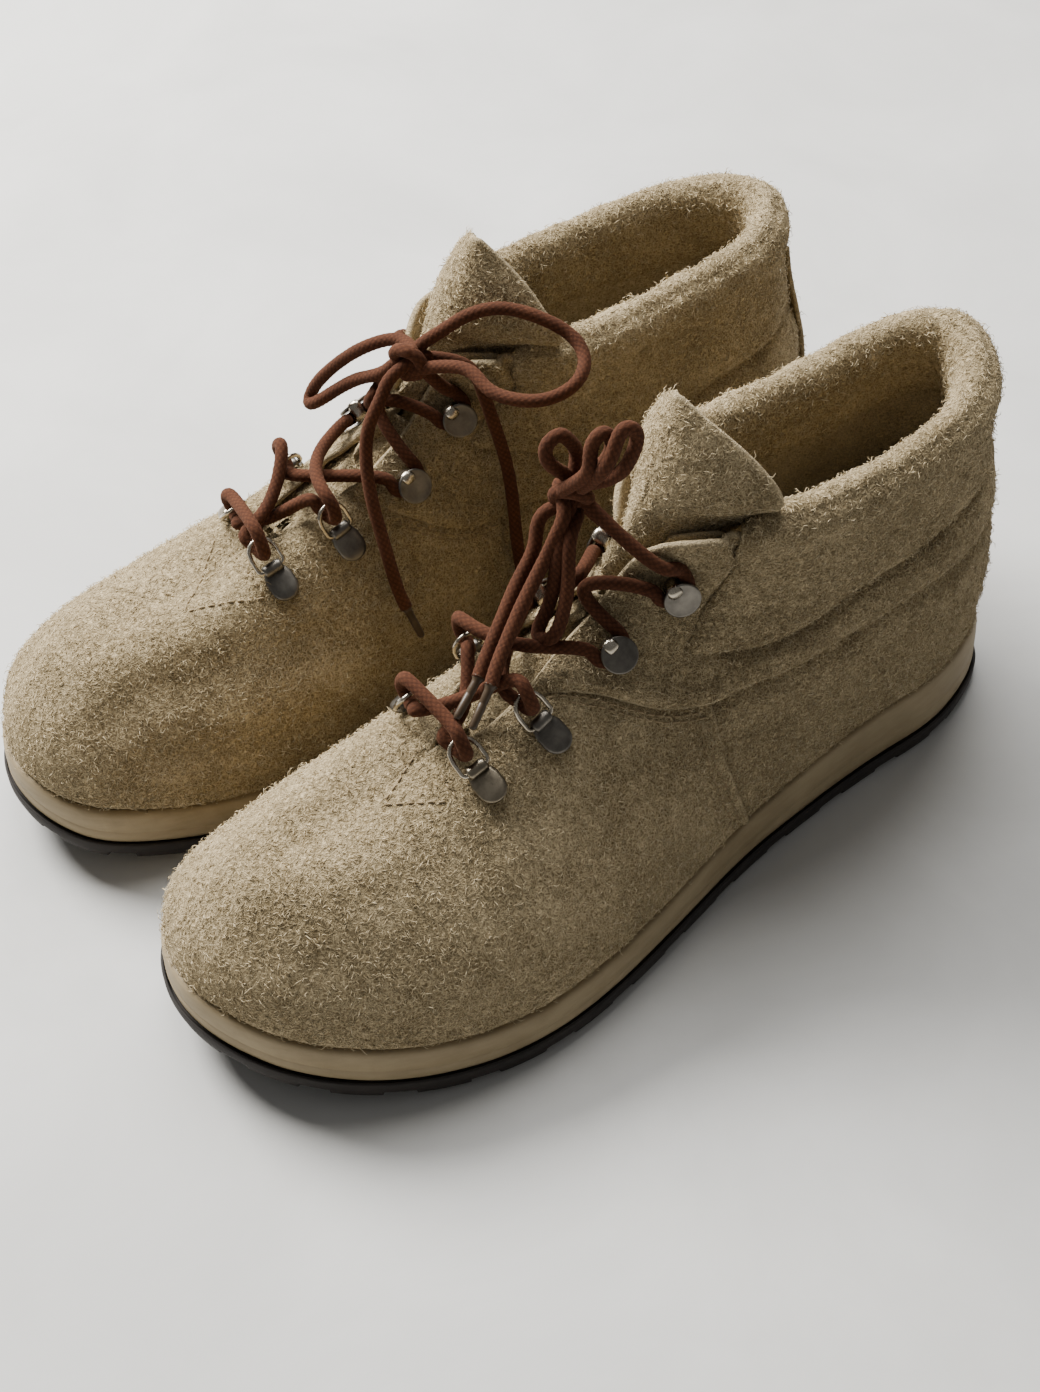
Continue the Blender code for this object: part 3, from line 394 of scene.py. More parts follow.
def weld(points, faces, distance=0.01):
    """Join points that coincide and drop the faces that this flattens."""
    keys = np.round(points / distance).astype(np.int64)
    _, first, index = np.unique(keys, axis=0, return_index=True, return_inverse=True)
    faces = index.reshape(-1)[faces]
    flat = (faces[:, 0] == faces[:, 2]) | (faces[:, 1] == faces[:, 3])
    joined = (faces == np.roll(faces, 1, axis=1)).sum(axis=1)
    return points[first], faces[~flat & (joined < 2)]


def point_normals(points, faces):
    cross = np.cross(points[faces[:, 2]] - points[faces[:, 0]], points[faces[:, 3]] - points[faces[:, 1]])
    normals = np.zeros_like(points)
    for k in range(4):
        np.add.at(normals, faces[:, k], cross)
    return normals / np.maximum(np.linalg.norm(normals, axis=1), 1e-9)[:, None]


def facing(points, faces, away_from):
    """Turn the faces so that they look away from a point inside."""
    middle = points[faces].mean(axis=1)
    cross = np.cross(points[faces[:, 2]] - points[faces[:, 0]], points[faces[:, 3]] - points[faces[:, 1]])
    if (cross * (middle - np.array(away_from))).sum() < 0:
        return faces[:, ::-1]
    return faces


def outwards(points, faces):
    """Faces of a closed solid, turned so that they look outwards."""
    volume = (points[faces[:, 0]] * np.cross(points[faces[:, 1]], points[faces[:, 2]])).sum()
    return faces if volume > 0 else faces[:, ::-1]


def caps(sides, last, count):
    """Triangle fans that close a tube whose two middle points come last of its count points."""
    j = np.arange(sides)
    k = (j + 1) % sides
    low = np.full(sides, count - 2)
    high = np.full(sides, count - 1)
    return np.concatenate([np.stack([low, low, k, j], -1), np.stack([high, high, last + j, last + k], -1)])


def thicken(points, faces, thick, rim):
    """Closed solid from a sheet: an inner copy and a rounded rim. Also how much each point is cut edge."""
    normals = point_normals(points, faces)
    count = len(points)
    start = faces.reshape(-1)
    stop = np.roll(faces, -1, axis=1).reshape(-1)
    real = start != stop
    start, stop = start[real], stop[real]
    free = ~np.isin(start * count + stop, stop * count + start)
    start, stop = start[free], stop[free]
    ends = np.unique(np.concatenate([start, stop]))
    place = np.full(count, -1)
    place[ends] = np.arange(len(ends)) + 2 * count
    out = np.zeros_like(points)
    outward = np.cross(points[stop] - points[start], normals[start])
    np.add.at(out, start, outward)
    np.add.at(out, stop, outward)
    out = out[ends] / np.maximum(np.linalg.norm(out[ends], axis=1), 1e-9)[:, None]
    inner = points - normals * thick
    middle = (points[ends] + inner[ends]) / 2 + out * rim * thick
    solid = np.concatenate([points, inner, middle])
    upper = np.stack([stop, start, place[start], place[stop]], -1)
    lower = np.stack([place[stop], place[start], start + count, stop + count], -1)
    edge = np.zeros(len(solid))
    edge[ends], edge[ends + count] = CUT_OUTER, CUT_INNER
    edge[2 * count:] = 1
    return solid, np.concatenate([faces, faces[:, ::-1] + count, upper, lower]), edge


def on_boot(points, boot):
    """Own frame in mm to the row frame in metres."""
    move = np.array(boot_matrix(boot))
    return points @ move[:3, :3].T + move[:3, 3]


def make_piece(name, boot, points, faces, look, edge=None):
    """Mesh object of one boot, riding on it."""
    if BOOTS[boot][0] < 0:
        faces = faces[:, ::-1]
    polygons = [tuple(dict.fromkeys(face)) for face in faces.tolist()]
    data = bpy.data.meshes.new(name)
    data.from_pydata(on_boot(points, boot).tolist(), [], polygons)
    data.polygons.foreach_set("use_smooth", np.ones(len(polygons), bool))
    if edge is not None:
        data.attributes.new("edge", "FLOAT", "POINT").data.foreach_set("value", edge.astype(np.float32))
    data.materials.append(look)
    obj = bpy.data.objects.new(name, data)
    bpy.context.scene.collection.objects.link(obj)
    return obj


def tube_mesh(line, radius, sides, closed=False, first_up=(0, 0, 1.0)):
    """Round tube along a line; radius is one number or one for each point of its rings."""
    line = np.asarray(line, float)
    if closed:
        tangent = np.roll(line, -1, axis=0) - np.roll(line, 1, axis=0)
    else:
        tangent = np.gradient(line, axis=0)
    tangent /= np.linalg.norm(tangent, axis=1)[:, None]
    normal = np.cross(tangent[0], first_up)
    if np.linalg.norm(normal) < 0.1:
        normal = np.cross(tangent[0], (1.0, 0, 0))
    normals = []
    for way in tangent:
        normal = normal - way * (normal @ way)
        normal /= np.linalg.norm(normal)
        normals.append(normal)
    normals = np.array(normals)
    if closed:
        drift = math.atan2(float(np.cross(normals[-1], normals[0]) @ tangent[0]),
                           float(normals[-1] @ normals[0]))
        turn = np.linspace(0, 1, len(line), endpoint=False)[:, None] * drift
        normals = normals * np.cos(turn) + np.cross(tangent, normals) * np.sin(turn)
    binormals = np.cross(tangent, normals)
    angle = np.linspace(0, 2 * math.pi, sides, endpoint=False)
    radius = np.broadcast_to(radius, (len(line), sides)) if np.ndim(radius) < 2 else radius
    angle = angle[None, :, None]
    spokes = normals[:, None] * np.cos(angle) + binormals[:, None] * np.sin(angle)
    points = line[:, None] + spokes * radius[..., None]
    faces = grid_faces(len(line), sides, ring=True)
    if closed:
        base = (len(line) - 1) * sides
        j = np.arange(sides)
        faces = np.concatenate([faces, np.stack([base + j, base + (j + 1) % sides, (j + 1) % sides, j], -1)])
        return points.reshape(-1, 3), faces[:, ::-1]
    points = np.concatenate([points.reshape(-1, 3), line[:1], line[-1:]])
    faces = np.concatenate([faces, caps(sides, (len(line) - 1) * sides, len(points))])
    return points, faces[:, ::-1]


def dense(points, step=0.5):
    """The polyline through points with samples step apart."""
    points = np.asarray(points, float)
    along = arc_length(points)
    at = np.linspace(0, along[-1], max(2, int(along[-1] / step)))
    return read_line(at, along, points)


def seam_line(side, seam, start=None, stop=None, count=80):
    """A seam as points on the skin."""
    s = np.linspace(seam[0][0] if start is None else start, seam[-1][0] if stop is None else stop, count)
    return dense(skin(side, s, read_seam(seam, s)))


# ---------------------------------------------------------------- materials

def add(tree, kind, inputs=None, **settings):
    """A shader node; inputs are sockets to link or plain values."""
    made = tree.nodes.new("ShaderNode" + kind)
    for key, value in settings.items():
        setattr(made, key, value)
    for key, value in (inputs or {}).items():
        if isinstance(value, bpy.types.NodeSocket):
            tree.links.new(value, made.inputs[key])
        else:
            made.inputs[key].default_value = value
    return made


def new_look(name, **values):
    """Material with a Principled shader whose plain values are set on its sockets."""
    look = bpy.data.materials.new(name)
    look.use_nodes = True
    shader = look.node_tree.nodes["Principled BSDF"]
    for key, value in values.items():
        shader.inputs[key.replace("_", " ")].default_value = value
    return look, look.node_tree, shader


def place_of(tree, scale=(1, 1, 1)):
    coordinates = add(tree, "TexCoord")
    return add(tree, "Mapping", {"Vector": coordinates.outputs["Object"], "Scale": scale}).outputs["Vector"]


def noise_node(tree, place, scale, detail, rough, distortion=0.0):
    made = add(tree, "TexNoise", {"Vector": place, "Scale": scale, "Detail": detail, "Roughness": rough,
                                  "Distortion": distortion})
    return made.outputs["Fac"]


def ramp(tree, value, stops):
    made = add(tree, "ValToRGB", {"Fac": value})
    elements = made.color_ramp.elements
    while len(elements) < len(stops):
        elements.new(0.5)
    for element, (position, colour) in zip(elements, stops):
        element.position = position
        element.color = (*colour, 1)
    return made.outputs["Color"]


def weighted(tree, *parts):
    """Sum of sockets, each times its weight."""
    total = None
    for value, weight in parts:
        share = sum_of(tree, "MULTIPLY", value, weight)
        total = share if total is None else sum_of(tree, "ADD", total, share)
    return total


def finish_look(look, tree, shader, colour, height, strength, distance):
    """Link the colour and a bump to the shader."""
    tree.links.new(colour, shader.inputs["Base Color"])
    bump = add(tree, "Bump", {"Height": height, "Strength": strength, "Distance": distance})
    tree.links.new(bump.outputs["Normal"], shader.inputs["Normal"])
    return look


def sum_of(tree, operation, first, second):
    made = tree.nodes.new("ShaderNodeMath")
    made.operation = operation
    for socket, value in zip(made.inputs, (first, second)):
        if isinstance(value, bpy.types.NodeSocket):
            tree.links.new(value, socket)
        else:
            socket.default_value = value
    return made.outputs[0]


def suede_look(name, dark, light, cut):
    """Long-nap suede: curly fibres, patches where the nap lies either way, pale cut edges."""
    look, tree, shader = new_look(name, Roughness=0.95, Sheen_Weight=0.25, Sheen_Roughness=0.45)
    shader.inputs["Specular IOR Level"].default_value = 0.12
    shader.inputs["Sheen Tint"].default_value = (*light, 1)
    place = place_of(tree)
    warp = add(tree, "TexNoise", {"Vector": place, "Scale": 420.0, "Detail": 1.0}).outputs["Color"]
    shift = add(tree, "VectorMath", {0: warp, "Scale": 0.0034}, operation="SCALE").outputs["Vector"]
    curled = add(tree, "VectorMath", {0: place, 1: shift}, operation="ADD").outputs["Vector"]
    cells = add(tree, "TexVoronoi", {"Vector": curled, "Scale": 950.0}, feature="DISTANCE_TO_EDGE")
    curls = ramp(tree, cells.outputs["Distance"], ((0.0, (1.0, 1.0, 1.0)), (0.16, (0.35, 0.35, 0.35)),
                                                   (0.4, (0.0, 0.0, 0.0))))
    fibres = noise_node(tree, curled, 1700.0, 3.0, 0.6, 1.0)
    patches = noise_node(tree, place, 75.0, 4.0, 0.62, 0.4)
    broad = noise_node(tree, place, 17.0, 2.0, 0.5)
    nap = weighted(tree, (curls, 0.32), (fibres, 0.6))
    shade = sum_of(tree, "ADD", nap, weighted(tree, (patches, 0.42), (broad, 0.22)))
    middle = tuple(math.sqrt(a * b) for a, b in zip(dark, light))
    colour = ramp(tree, shade, ((0.38, dark), (0.66, middle), (1.0, light)))
    edge = add(tree, "Attribute", attribute_name="edge").outputs["Fac"]
    share = sum_of(tree, "MULTIPLY", edge, 0.55)
    blend = add(tree, "Mix", data_type="RGBA")
    tree.links.new(share, blend.inputs[0])
    tree.links.new(colour, blend.inputs[6])
    blend.inputs[7].default_value = (*cut, 1)
    return finish_look(look, tree, shader, blend.outputs[2], nap, 1.0, 0.0011)


def cord_look():
    """Round woven cord: painted highlight on the strands' crowns and painted shade where they cross under,
    fuzzy.
    """
    look, tree, shader = new_look("rust_cord", Roughness=0.9, Sheen_Weight=0.12, Sheen_Roughness=0.5)
    shader.inputs["Specular IOR Level"].default_value = 0.15
    shader.inputs["Sheen Tint"].default_value = (0.6, 0.3, 0.18, 1)
    # The 'edge' attribute on the cord holds the braid pattern: its low values give painted shade in the
    # grooves where strands cross under, its high values a painted highlight on the crowns.
    weave = add(tree, "Attribute", attribute_name="edge").outputs["Fac"]
    fuzz = noise_node(tree, place_of(tree), 2200.0, 2.0, 0.6)
    tone = noise_node(tree, place_of(tree), 120.0, 3.0, 0.6)
    shade = weighted(tree, (weave, 0.34), (tone, 0.3), (fuzz, 0.3))
    # Dark where the braid pattern is low is painted shade, light where it is high is painted highlight; the
    # two noises are the cord's own tone and fuzz.
    colour = ramp(tree, shade, ((0.2, (0.020, 0.006, 0.003)), (0.55, (0.074, 0.026, 0.012)),
                                (0.9, (0.15, 0.058, 0.028))))
    return finish_look(look, tree, shader, colour, fuzz, 0.7, 0.0003)


def metal_look(name, dark, light, rough):
    """Plated metal: cloudy tone, fine scratches, worn lighter places."""
    look, tree, shader = new_look(name, Metallic=1.0)
    place = place_of(tree)
    clouds = noise_node(tree, place, 130.0, 5.0, 0.6)
    colour = ramp(tree, clouds, ((0.35, dark), (0.7, light)))
    scratches = noise_node(tree, place_of(tree, (1, 9, 1)), 700.0, 3.0, 0.6)
    roughness = sum_of(tree, "ADD", sum_of(tree, "MULTIPLY", scratches, 0.25), rough)
    tree.links.new(roughness, shader.inputs["Roughness"])
    return finish_look(look, tree, shader, colour, scratches, 0.12, 0.0002)


def fibre_look():
    """Loose tufts of the nap, each patch of them a little lighter or darker."""
    look, tree, shader = new_look("suede_fibre", Roughness=0.95)
    shader.inputs["Specular IOR Level"].default_value = 0.1
    tone = noise_node(tree, place_of(tree), 500.0, 2.0, 0.6)
    colour = ramp(tree, tone, ((0.3, (0.24, 0.18, 0.095)), (0.7, (0.74, 0.62, 0.41))))
    tree.links.new(colour, shader.inputs["Base Color"])
    return look


def moulded_look(name, dark, light, rough, grain, depth):
    """Foam or rubber: fine grain, cloudy dirt."""
    look, tree, shader = new_look(name)
    shader.inputs["Specular IOR Level"].default_value = 0.35
    place = place_of(tree)
    fine = noise_node(tree, place, grain, 3.0, 0.6)
    clouds = noise_node(tree, place, 45.0, 5.0, 0.6, 0.6)
    streaks = noise_node(tree, place_of(tree, (1, 1, 5)), 90.0, 3.0, 0.6)
    mixed = weighted(tree, (clouds, 0.55), (streaks, 0.35), (fine, 0.1))
    colour = ramp(tree, mixed, ((0.32, dark), (0.62, light)))
    roughness = sum_of(tree, "ADD", sum_of(tree, "MULTIPLY", clouds, 0.2), rough)
    tree.links.new(roughness, shader.inputs["Roughness"])
    return finish_look(look, tree, shader, colour, fine, 0.3, depth)


def footbed_look():
    """Off-white woven cloth with dark stripes across."""
    look, tree, shader = new_look("footbed_cloth", Roughness=0.9)
    place = place_of(tree)
    stripes = add(tree, "TexWave", {"Vector": place, "Scale": 75.0, "Distortion": 0.4, "Detail": 1.0},
                  wave_type="BANDS", bands_direction="Y").outputs["Fac"]
    weave = add(tree, "TexWave", {"Vector": place, "Scale": 700.0}, bands_direction="X").outputs["Fac"]
    colour = ramp(tree, stripes, ((0.12, (0.10, 0.10, 0.11)), (0.22, (0.78, 0.77, 0.74))))
    return finish_look(look, tree, shader, colour, weave, 0.3, 0.0002)


def floor_look():
    look, tree, shader = new_look("pale_floor", Roughness=0.75)
    place = place_of(tree)
    clouds = noise_node(tree, place, 9.0, 6.0, 0.6, 0.5)
    colour = ramp(tree, clouds, ((0.3, (0.52, 0.515, 0.495)), (0.7, (0.62, 0.615, 0.595))))
    tree.links.new(colour, shader.inputs["Base Color"])
    return look


def make_looks():
    return {
        "suede": suede_look("sand_suede", (0.085, 0.060, 0.028), (0.62, 0.495, 0.30), (0.56, 0.46, 0.30)),
        "lining": suede_look("lining_suede", (0.15, 0.11, 0.058), (0.66, 0.54, 0.345), (0.48, 0.39, 0.25)),
        "fibre": fibre_look(),
        "thread": new_look("seam_thread", Base_Color=(0.30, 0.225, 0.125, 1), Roughness=0.8)[0],
        "cord": cord_look(),
        "tip": moulded_look("lace_tip", (0.035, 0.022, 0.012), (0.075, 0.048, 0.026), 0.3, 900.0, 0.0001),
        "metal": metal_look("gunmetal", (0.10, 0.092, 0.080), (0.23, 0.21, 0.18), 0.28),
        "brass": metal_look("worn_plate", (0.12, 0.10, 0.07), (0.36, 0.31, 0.23), 0.2),
        "nickel": metal_look("nickel_wire", (0.30, 0.26, 0.20), (0.62, 0.56, 0.46), 0.12),
        "foam": moulded_look("tan_foam", (0.24, 0.18, 0.095), (0.34, 0.265, 0.155), 0.5, 1300.0, 0.0001),
        "rubber": moulded_look("black_rubber", (0.010, 0.008, 0.007), (0.030, 0.024, 0.020), 0.6, 900.0,
                               0.0002),
        "board": moulded_look("fibre_board", (0.20, 0.14, 0.08), (0.32, 0.24, 0.15), 0.8, 700.0, 0.0002),
        "steel": metal_look("shank_steel", (0.42, 0.42, 0.42), (0.62, 0.62, 0.62), 0.3),
        "footbed": footbed_look(),
    }


# ---------------------------------------------------------------- camera, floor and light

def make_camera():
    azimuth, elevation = CAMERA_AZIMUTH, CAMERA_ELEVATION
    back = Vector((math.sin(azimuth) * math.cos(elevation), -math.cos(azimuth) * math.cos(elevation),
                   math.sin(elevation)))
    right = Vector((math.cos(azimuth), math.sin(azimuth), 0))
    up = back.cross(right)
    turned = right * math.cos(CAMERA_ROLL) + up * math.sin(CAMERA_ROLL)
    raised = up * math.cos(CAMERA_ROLL) - right * math.sin(CAMERA_ROLL)
    data = bpy.data.cameras.new("camera")
    data.lens = CAMERA_LENS
    data.sensor_width = 36.0
    camera = bpy.data.objects.new("camera", data)
    bpy.context.scene.collection.objects.link(camera)
    camera.matrix_world = frame_matrix(CAMERA_PLACE, turned, raised, back)
    bpy.context.scene.camera = camera


def make_floor():
    bpy.ops.mesh.primitive_grid_add(x_subdivisions=8, y_subdivisions=8, size=8.0, location=(0, 0, -0.0003))
    floor = bpy.context.object
    floor.name = "floor"
    floor.data.materials.append(floor_look())


def soft_light(name, place, target, size, power, colour):
    data = bpy.data.lights.new(name, "AREA")
    data.shape = "DISK"
    data.size = size
    data.energy = power
    data.color = colour
    light = bpy.data.objects.new(name, data)
    bpy.context.scene.collection.objects.link(light)
    light.location = place
    way = Vector(target) - Vector(place)
    light.rotation_euler = way.to_track_quat("-Z", "Y").to_euler()


def make_lights():
    world = bpy.data.worlds.new("studio")
    world.use_nodes = True
    background = world.node_tree.nodes["Background"]
    background.inputs["Color"].default_value = (1.0, 0.99, 0.97, 1)
    background.inputs["Strength"].default_value = 0.20
    bpy.context.scene.world = world
    soft_light("window", (-1.15, -0.35, 1.1), (0, 0, 0.05), 0.75, 78.0, (1.0, 0.985, 0.955))
    soft_light("ceiling", (-0.7, 0.45, 1.7), (0, 0, 0), 1.2, 38.0, (1.0, 0.995, 0.985))


# ---------------------------------------------------------------- upper

THROAT_START = 0.345
TRIANGLE = {"left": ((MEDIAL, 0.332, 0.98), (LATERAL, 0.26, 0.962), (LATERAL, 0.335, 0.80),
                     (LATERAL, 0.34, 0.938)),
            "right": ((LATERAL, 0.335, 0.888), (MEDIAL, 0.242, 0.856), (MEDIAL, 0.335, 0.65),
                      (LATERAL, 0.342, 0.956))}
# Soft folds pressed into the vamp: line through s, a on one side, how deep and how wide.
FOLDS = {
    "left": ((LATERAL, ((0.39, 0.64), (0.43, 0.45), (0.44, 0.30)), 1.0, 9.0),
             (LATERAL, ((0.27, 0.66), (0.33, 0.60), (0.38, 0.66)), 0.8, 8.0),
             (MEDIAL, ((0.18, 0.50), (0.29, 0.46), (0.38, 0.36)), 1.0, 9.0)),
    "right": ((MEDIAL, ((0.13, 0.40), (0.18, 0.50), (0.29, 0.47), (0.38, 0.36)), 1.5, 8.0),
              (MEDIAL, ((0.17, 0.22), (0.255, 0.17), (0.35, 0.14)), 1.3, 6.0),
              (LATERAL, ((0.39, 0.60), (0.43, 0.45), (0.44, 0.30)), 1.0, 9.0)),
}


def relief(points, strength=1.0):
    """Undulation of soft leather and the lumps of its nap, in mm."""
    return strength * (0.40 * noise(points, 26.0, 3) + 0.22 * noise(points, 11.0, 5)
                       + 0.10 * noise(points, 4.0, 7) + 0.09 * noise(points, 1.7, 11))


def skin_grid(side, s, a):
    """Points on the skin for arrays s (columns) and a (rows by columns)."""
    return skin(side, np.broadcast_to(s, a.shape), a)


def fold_depth(points, boot):
    total = np.zeros(points.shape[:-1])
    for side, line, depth, width in FOLDS[boot]:
        at = np.array(line)
        path = dense(skin(side, at[:, 0], at[:, 1]), 1.0)
        total -= depth * np.exp(-(distance_to(points, path) / width) ** 2)
    return total


def two_sides(make):
    """Weld the grids that make(side) gives for the two sides into one sheet that faces outwards."""
    grids = []
    for side in (LATERAL, MEDIAL):
        grid = make(side)
        faces = grid_faces(*grid.shape[:2])
        grids.append((grid.reshape(-1, 3), faces if side == LATERAL else faces[:, ::-1]))
    points, faces = weld(*join(grids))
    return points, facing(points, faces, INSIDE)


def finish_sheet(name, boot, points, faces, look, thick, rim=RIM_ROUND):
    """Solid suede piece from its outer sheet, which is kept for the nap and the stitches too."""
    NAPPED[boot].append((name, points, faces))
    solid, all_faces, edge = thicken(points, faces, thick, rim)
    obj = make_piece(name, boot, solid, all_faces, look, edge)
    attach(obj, boot + "_boot")
    return obj


NAPPED = {"left": [], "right": []}
# Points inside the boot that outer faces look away from.
INSIDE = (0.0, 0.0, 40.0)
INSIDE_COLLAR = (0, 60, 60)


def side_seam_distance(points, side):
    """Distance of each point from the seam where vamp and quarter overlap."""
    a = np.linspace(0, 0.42, 60)
    return distance_to(points, dense(skin(side, read_seam(SIDE_SEAM, a), a)))


def foot_swell(points, start, stop):
    """Swelling just above the midsole, with a groove where the upper meets it, from s start to stop."""
    foot = distance_to(points, np.concatenate([dense(skin(side, np.linspace(start, stop, 80), 0.0))
                                               for side in (LATERAL, MEDIAL)]))
    swell = 0.9 * smooth_step(foot, 0.0, 1.0) * (1 - smooth_step(foot, 1.0, 7.0))
    return swell - 0.6 * np.exp(-(foot / 0.8) ** 2)


def vamp(boot, look):
    def one_side(side):
        t = np.linspace(0, 1, 96)[:, None]
        u = np.linspace(0, 1, 216)[None, :]
        rough_s = u * SIDE_SEAM_TOP
        top = np.where(rough_s < 0.49, read_seam(THROAT[side], rough_s),
                       read_seam(PANEL_SEAM[side], rough_s) + 0.03)
        top = np.where(rough_s <= THROAT_START, 1.0, top)
        a = t * top
        s = u * read_seam(SIDE_SEAM, a)
        grid = skin_grid(side, s, a)
        ridge = rough_s[0] <= THROAT_START
        on_ridge = skin_grid(-side, s[-1:], a[-1:])[0]
        grid[-1, ridge] = (grid[-1, ridge] + on_ridge[ridge]) / 2
        return grid

    points, faces = two_sides(one_side)
    normals = point_normals(points, faces)
    lift = relief(points) + fold_depth(points, boot)
    for side in (LATERAL, MEDIAL):
        near = side_seam_distance(points, side)
        lift += 0.9 * (1 - smooth_step(near, 1.5, 5.5)) - 0.5 * np.exp(-((near - 3.2) / 0.7) ** 2)
        upper = distance_to(points, seam_line(side, PANEL_SEAM[side]))
        lift -= 0.7 * np.exp(-(upper / 1.6) ** 2)
        throat = distance_to(points, seam_line(side, THROAT[side], 0.37, 0.475))
        lift += 0.5 * np.exp(-(throat / 5.0) ** 2)
    lift += foot_swell(points, 0, 0.6)
    points = points + normals * lift[:, None]
    obj = finish_sheet(boot + "_vamp_suede", boot, points, faces, look["suede"], UPPER_THICK)
    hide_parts(boot + "_vamp")


def quarter(boot, look):
    def one_side(side):
        t = np.linspace(0, 1, 52)[:, None]
        u = np.linspace(0, 1, 180)[None, :]
        top = read_seam(PANEL_SEAM[side], 0.575 + u * 0.425) + 0.03
        a = t * top
        start = read_seam(SIDE_SEAM, a) - 0.012
        return skin_grid(side, start + u * (1 - start), a)

    points, faces = two_sides(one_side)
    normals = point_normals(points, faces)
    lift = relief(points)
    for side in (LATERAL, MEDIAL):
        near = side_seam_distance(points, side)
        lift -= 0.8 * (1 - smooth_step(near, 0.5, 3.5))
        upper = distance_to(points, seam_line(side, PANEL_SEAM[side]))
        lift += 0.8 * np.exp(-((upper - 7.0) / 5.0) ** 2) - 1.3 * np.exp(-(upper / 2.6) ** 2)
    lift += foot_swell(points, 0.5, 1)
    points = points + normals * lift[:, None]
    obj = finish_sheet(boot + "_quarter_suede", boot, points, faces, look["suede"], UPPER_THICK)
    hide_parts(boot + "_quarter")


def ankle_panel(boot, side, look):
    """Panel over the ankle: turned lower edge, a soft roll under the pad, raw front edge."""
    t = np.linspace(0, 1, 80)[:, None]
    s = np.linspace(0.476, 1.0, 230)[None, :]
    low = read_seam(PANEL_SEAM[side], s)
    top = read_seam(PANEL_TOP[side], s)
    points = skin_grid(side, s, low + (top - low) * t)
    faces = facing(points.reshape(-1, 3), grid_faces(*points.shape[:2]), INSIDE)
    points = points.reshape(-1, 3)
    normals = point_normals(points, faces)
    seam = distance_to(points, seam_line(side, PANEL_SEAM[side]))
    low_s = np.linspace(PAD_FRONT, 1, 80)
    high_s = np.linspace(PAD_FRONT, 0.71, 40)
    outline = np.concatenate([dense(skin(side, low_s, read_seam(PAD_LOW, low_s))),
                              dense(skin(side, high_s, read_seam(PAD_HIGH, high_s)))])
    pad = distance_to(points, outline)
    both = np.maximum(seam + pad, 1)
    across = np.sin(math.pi * np.clip(seam / both, 0, 1))
    along = np.broadcast_to(s, (80, 230)).reshape(-1)
    under_pad = smooth_step(along, 0.61, 0.70)
    turned = smooth_step(seam, 0.0, 2.0) * (1 - smooth_step(seam, 2.0, 11.0))
    lift = 0.7 + relief(points) + 1.3 * turned * (1 - under_pad) + 2.3 * across * under_pad
    lift -= 1.0 * np.exp(-(seam / 1.6) ** 2) * under_pad + 1.5 * np.exp(-(pad / 1.9) ** 2)
    lift = lift * smooth_step(s + 0 * t, 0.476, 0.50).reshape(-1)
    height = low + (top - low) * t
    pad_top = np.where(s < ROLL_START, read_seam(PAD_HIGH, s), 2.0)
    beneath = ((s > PAD_FRONT) & (height > read_seam(PAD_LOW, s)) & (height < pad_top)).reshape(-1)
    lift = np.where(beneath, np.minimum(lift, -0.9 - 0.3 * smooth_step(pad, 0, 3)), lift)
    points = points + normals * lift[:, None]
    name = boot + ("_ankle_panel_lateral" if side > 0 else "_ankle_panel_medial")
    obj = finish_sheet(name + "_suede", boot, points, faces, look["suede"], UPPER_THICK + 0.4, 0.3)
    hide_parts(name)


def collar_section(side, s):
    """Line of the padded collar's outer face across the rim, and where it is outermost."""
    s = min(s, 0.999)
    low = skin(side, s, 0.915)
    top = skin(side, s, 1.0)
    up = (top - low) / np.linalg.norm(top - low)
    along = skin(side, s + 0.001, 0.95) - skin(side, s - 0.001, 0.95)
    out = np.cross(along, up) * side
    out /= np.linalg.norm(out)
    outer = skin(side, s, np.linspace(0.34, 0.93, 240))
    if s < ROLL_START - 0.02:
        outer = skin(side, s, np.linspace(0.34, 1.0, 260))
        return outer, len(outer) - 24
    middle = top - up * COLLAR_HALF_TALL - out * COLLAR_DEPTH
    turn = np.linspace(0.12, math.pi * 1.02, 30)[:, None]
    wide = np.where(np.cos(turn) > 0, COLLAR_HALF_WIDE, ROLL_INNER)
    roll = middle + out * wide * np.cos(turn) + up * COLLAR_HALF_TALL * np.sin(turn)
    a = np.linspace(0.86, 0.55, 24)
    inner = skin(side, s, a)
    depth = np.interp(a, (0.55, 0.72, 0.86), (4.4, 5.6, COLLAR_DEPTH + ROLL_INNER - 0.4))[:, None]
    inner = inner - out * depth
    outer = outer[(outer - middle) @ up < -0.8]
    return np.concatenate([outer, roll, inner]), len(outer)


PAD_PUFF = 3.6
PAD_ROUND = 7.0
RIM_SEAM_UP = 6.0              # seam along the rim's outer edge, above where the roll is outermost
RIM_SEAM_START = 0.73
# How far over the rim the pad reaches, mm past its outermost line, at places s.
ROLL_AT = (ROLL_START, 0.715, 0.725, 0.737, 0.75, 0.78, 1.0)
ROLL_LONG = (-5, 4, 15, 26, 33, 37, 37)


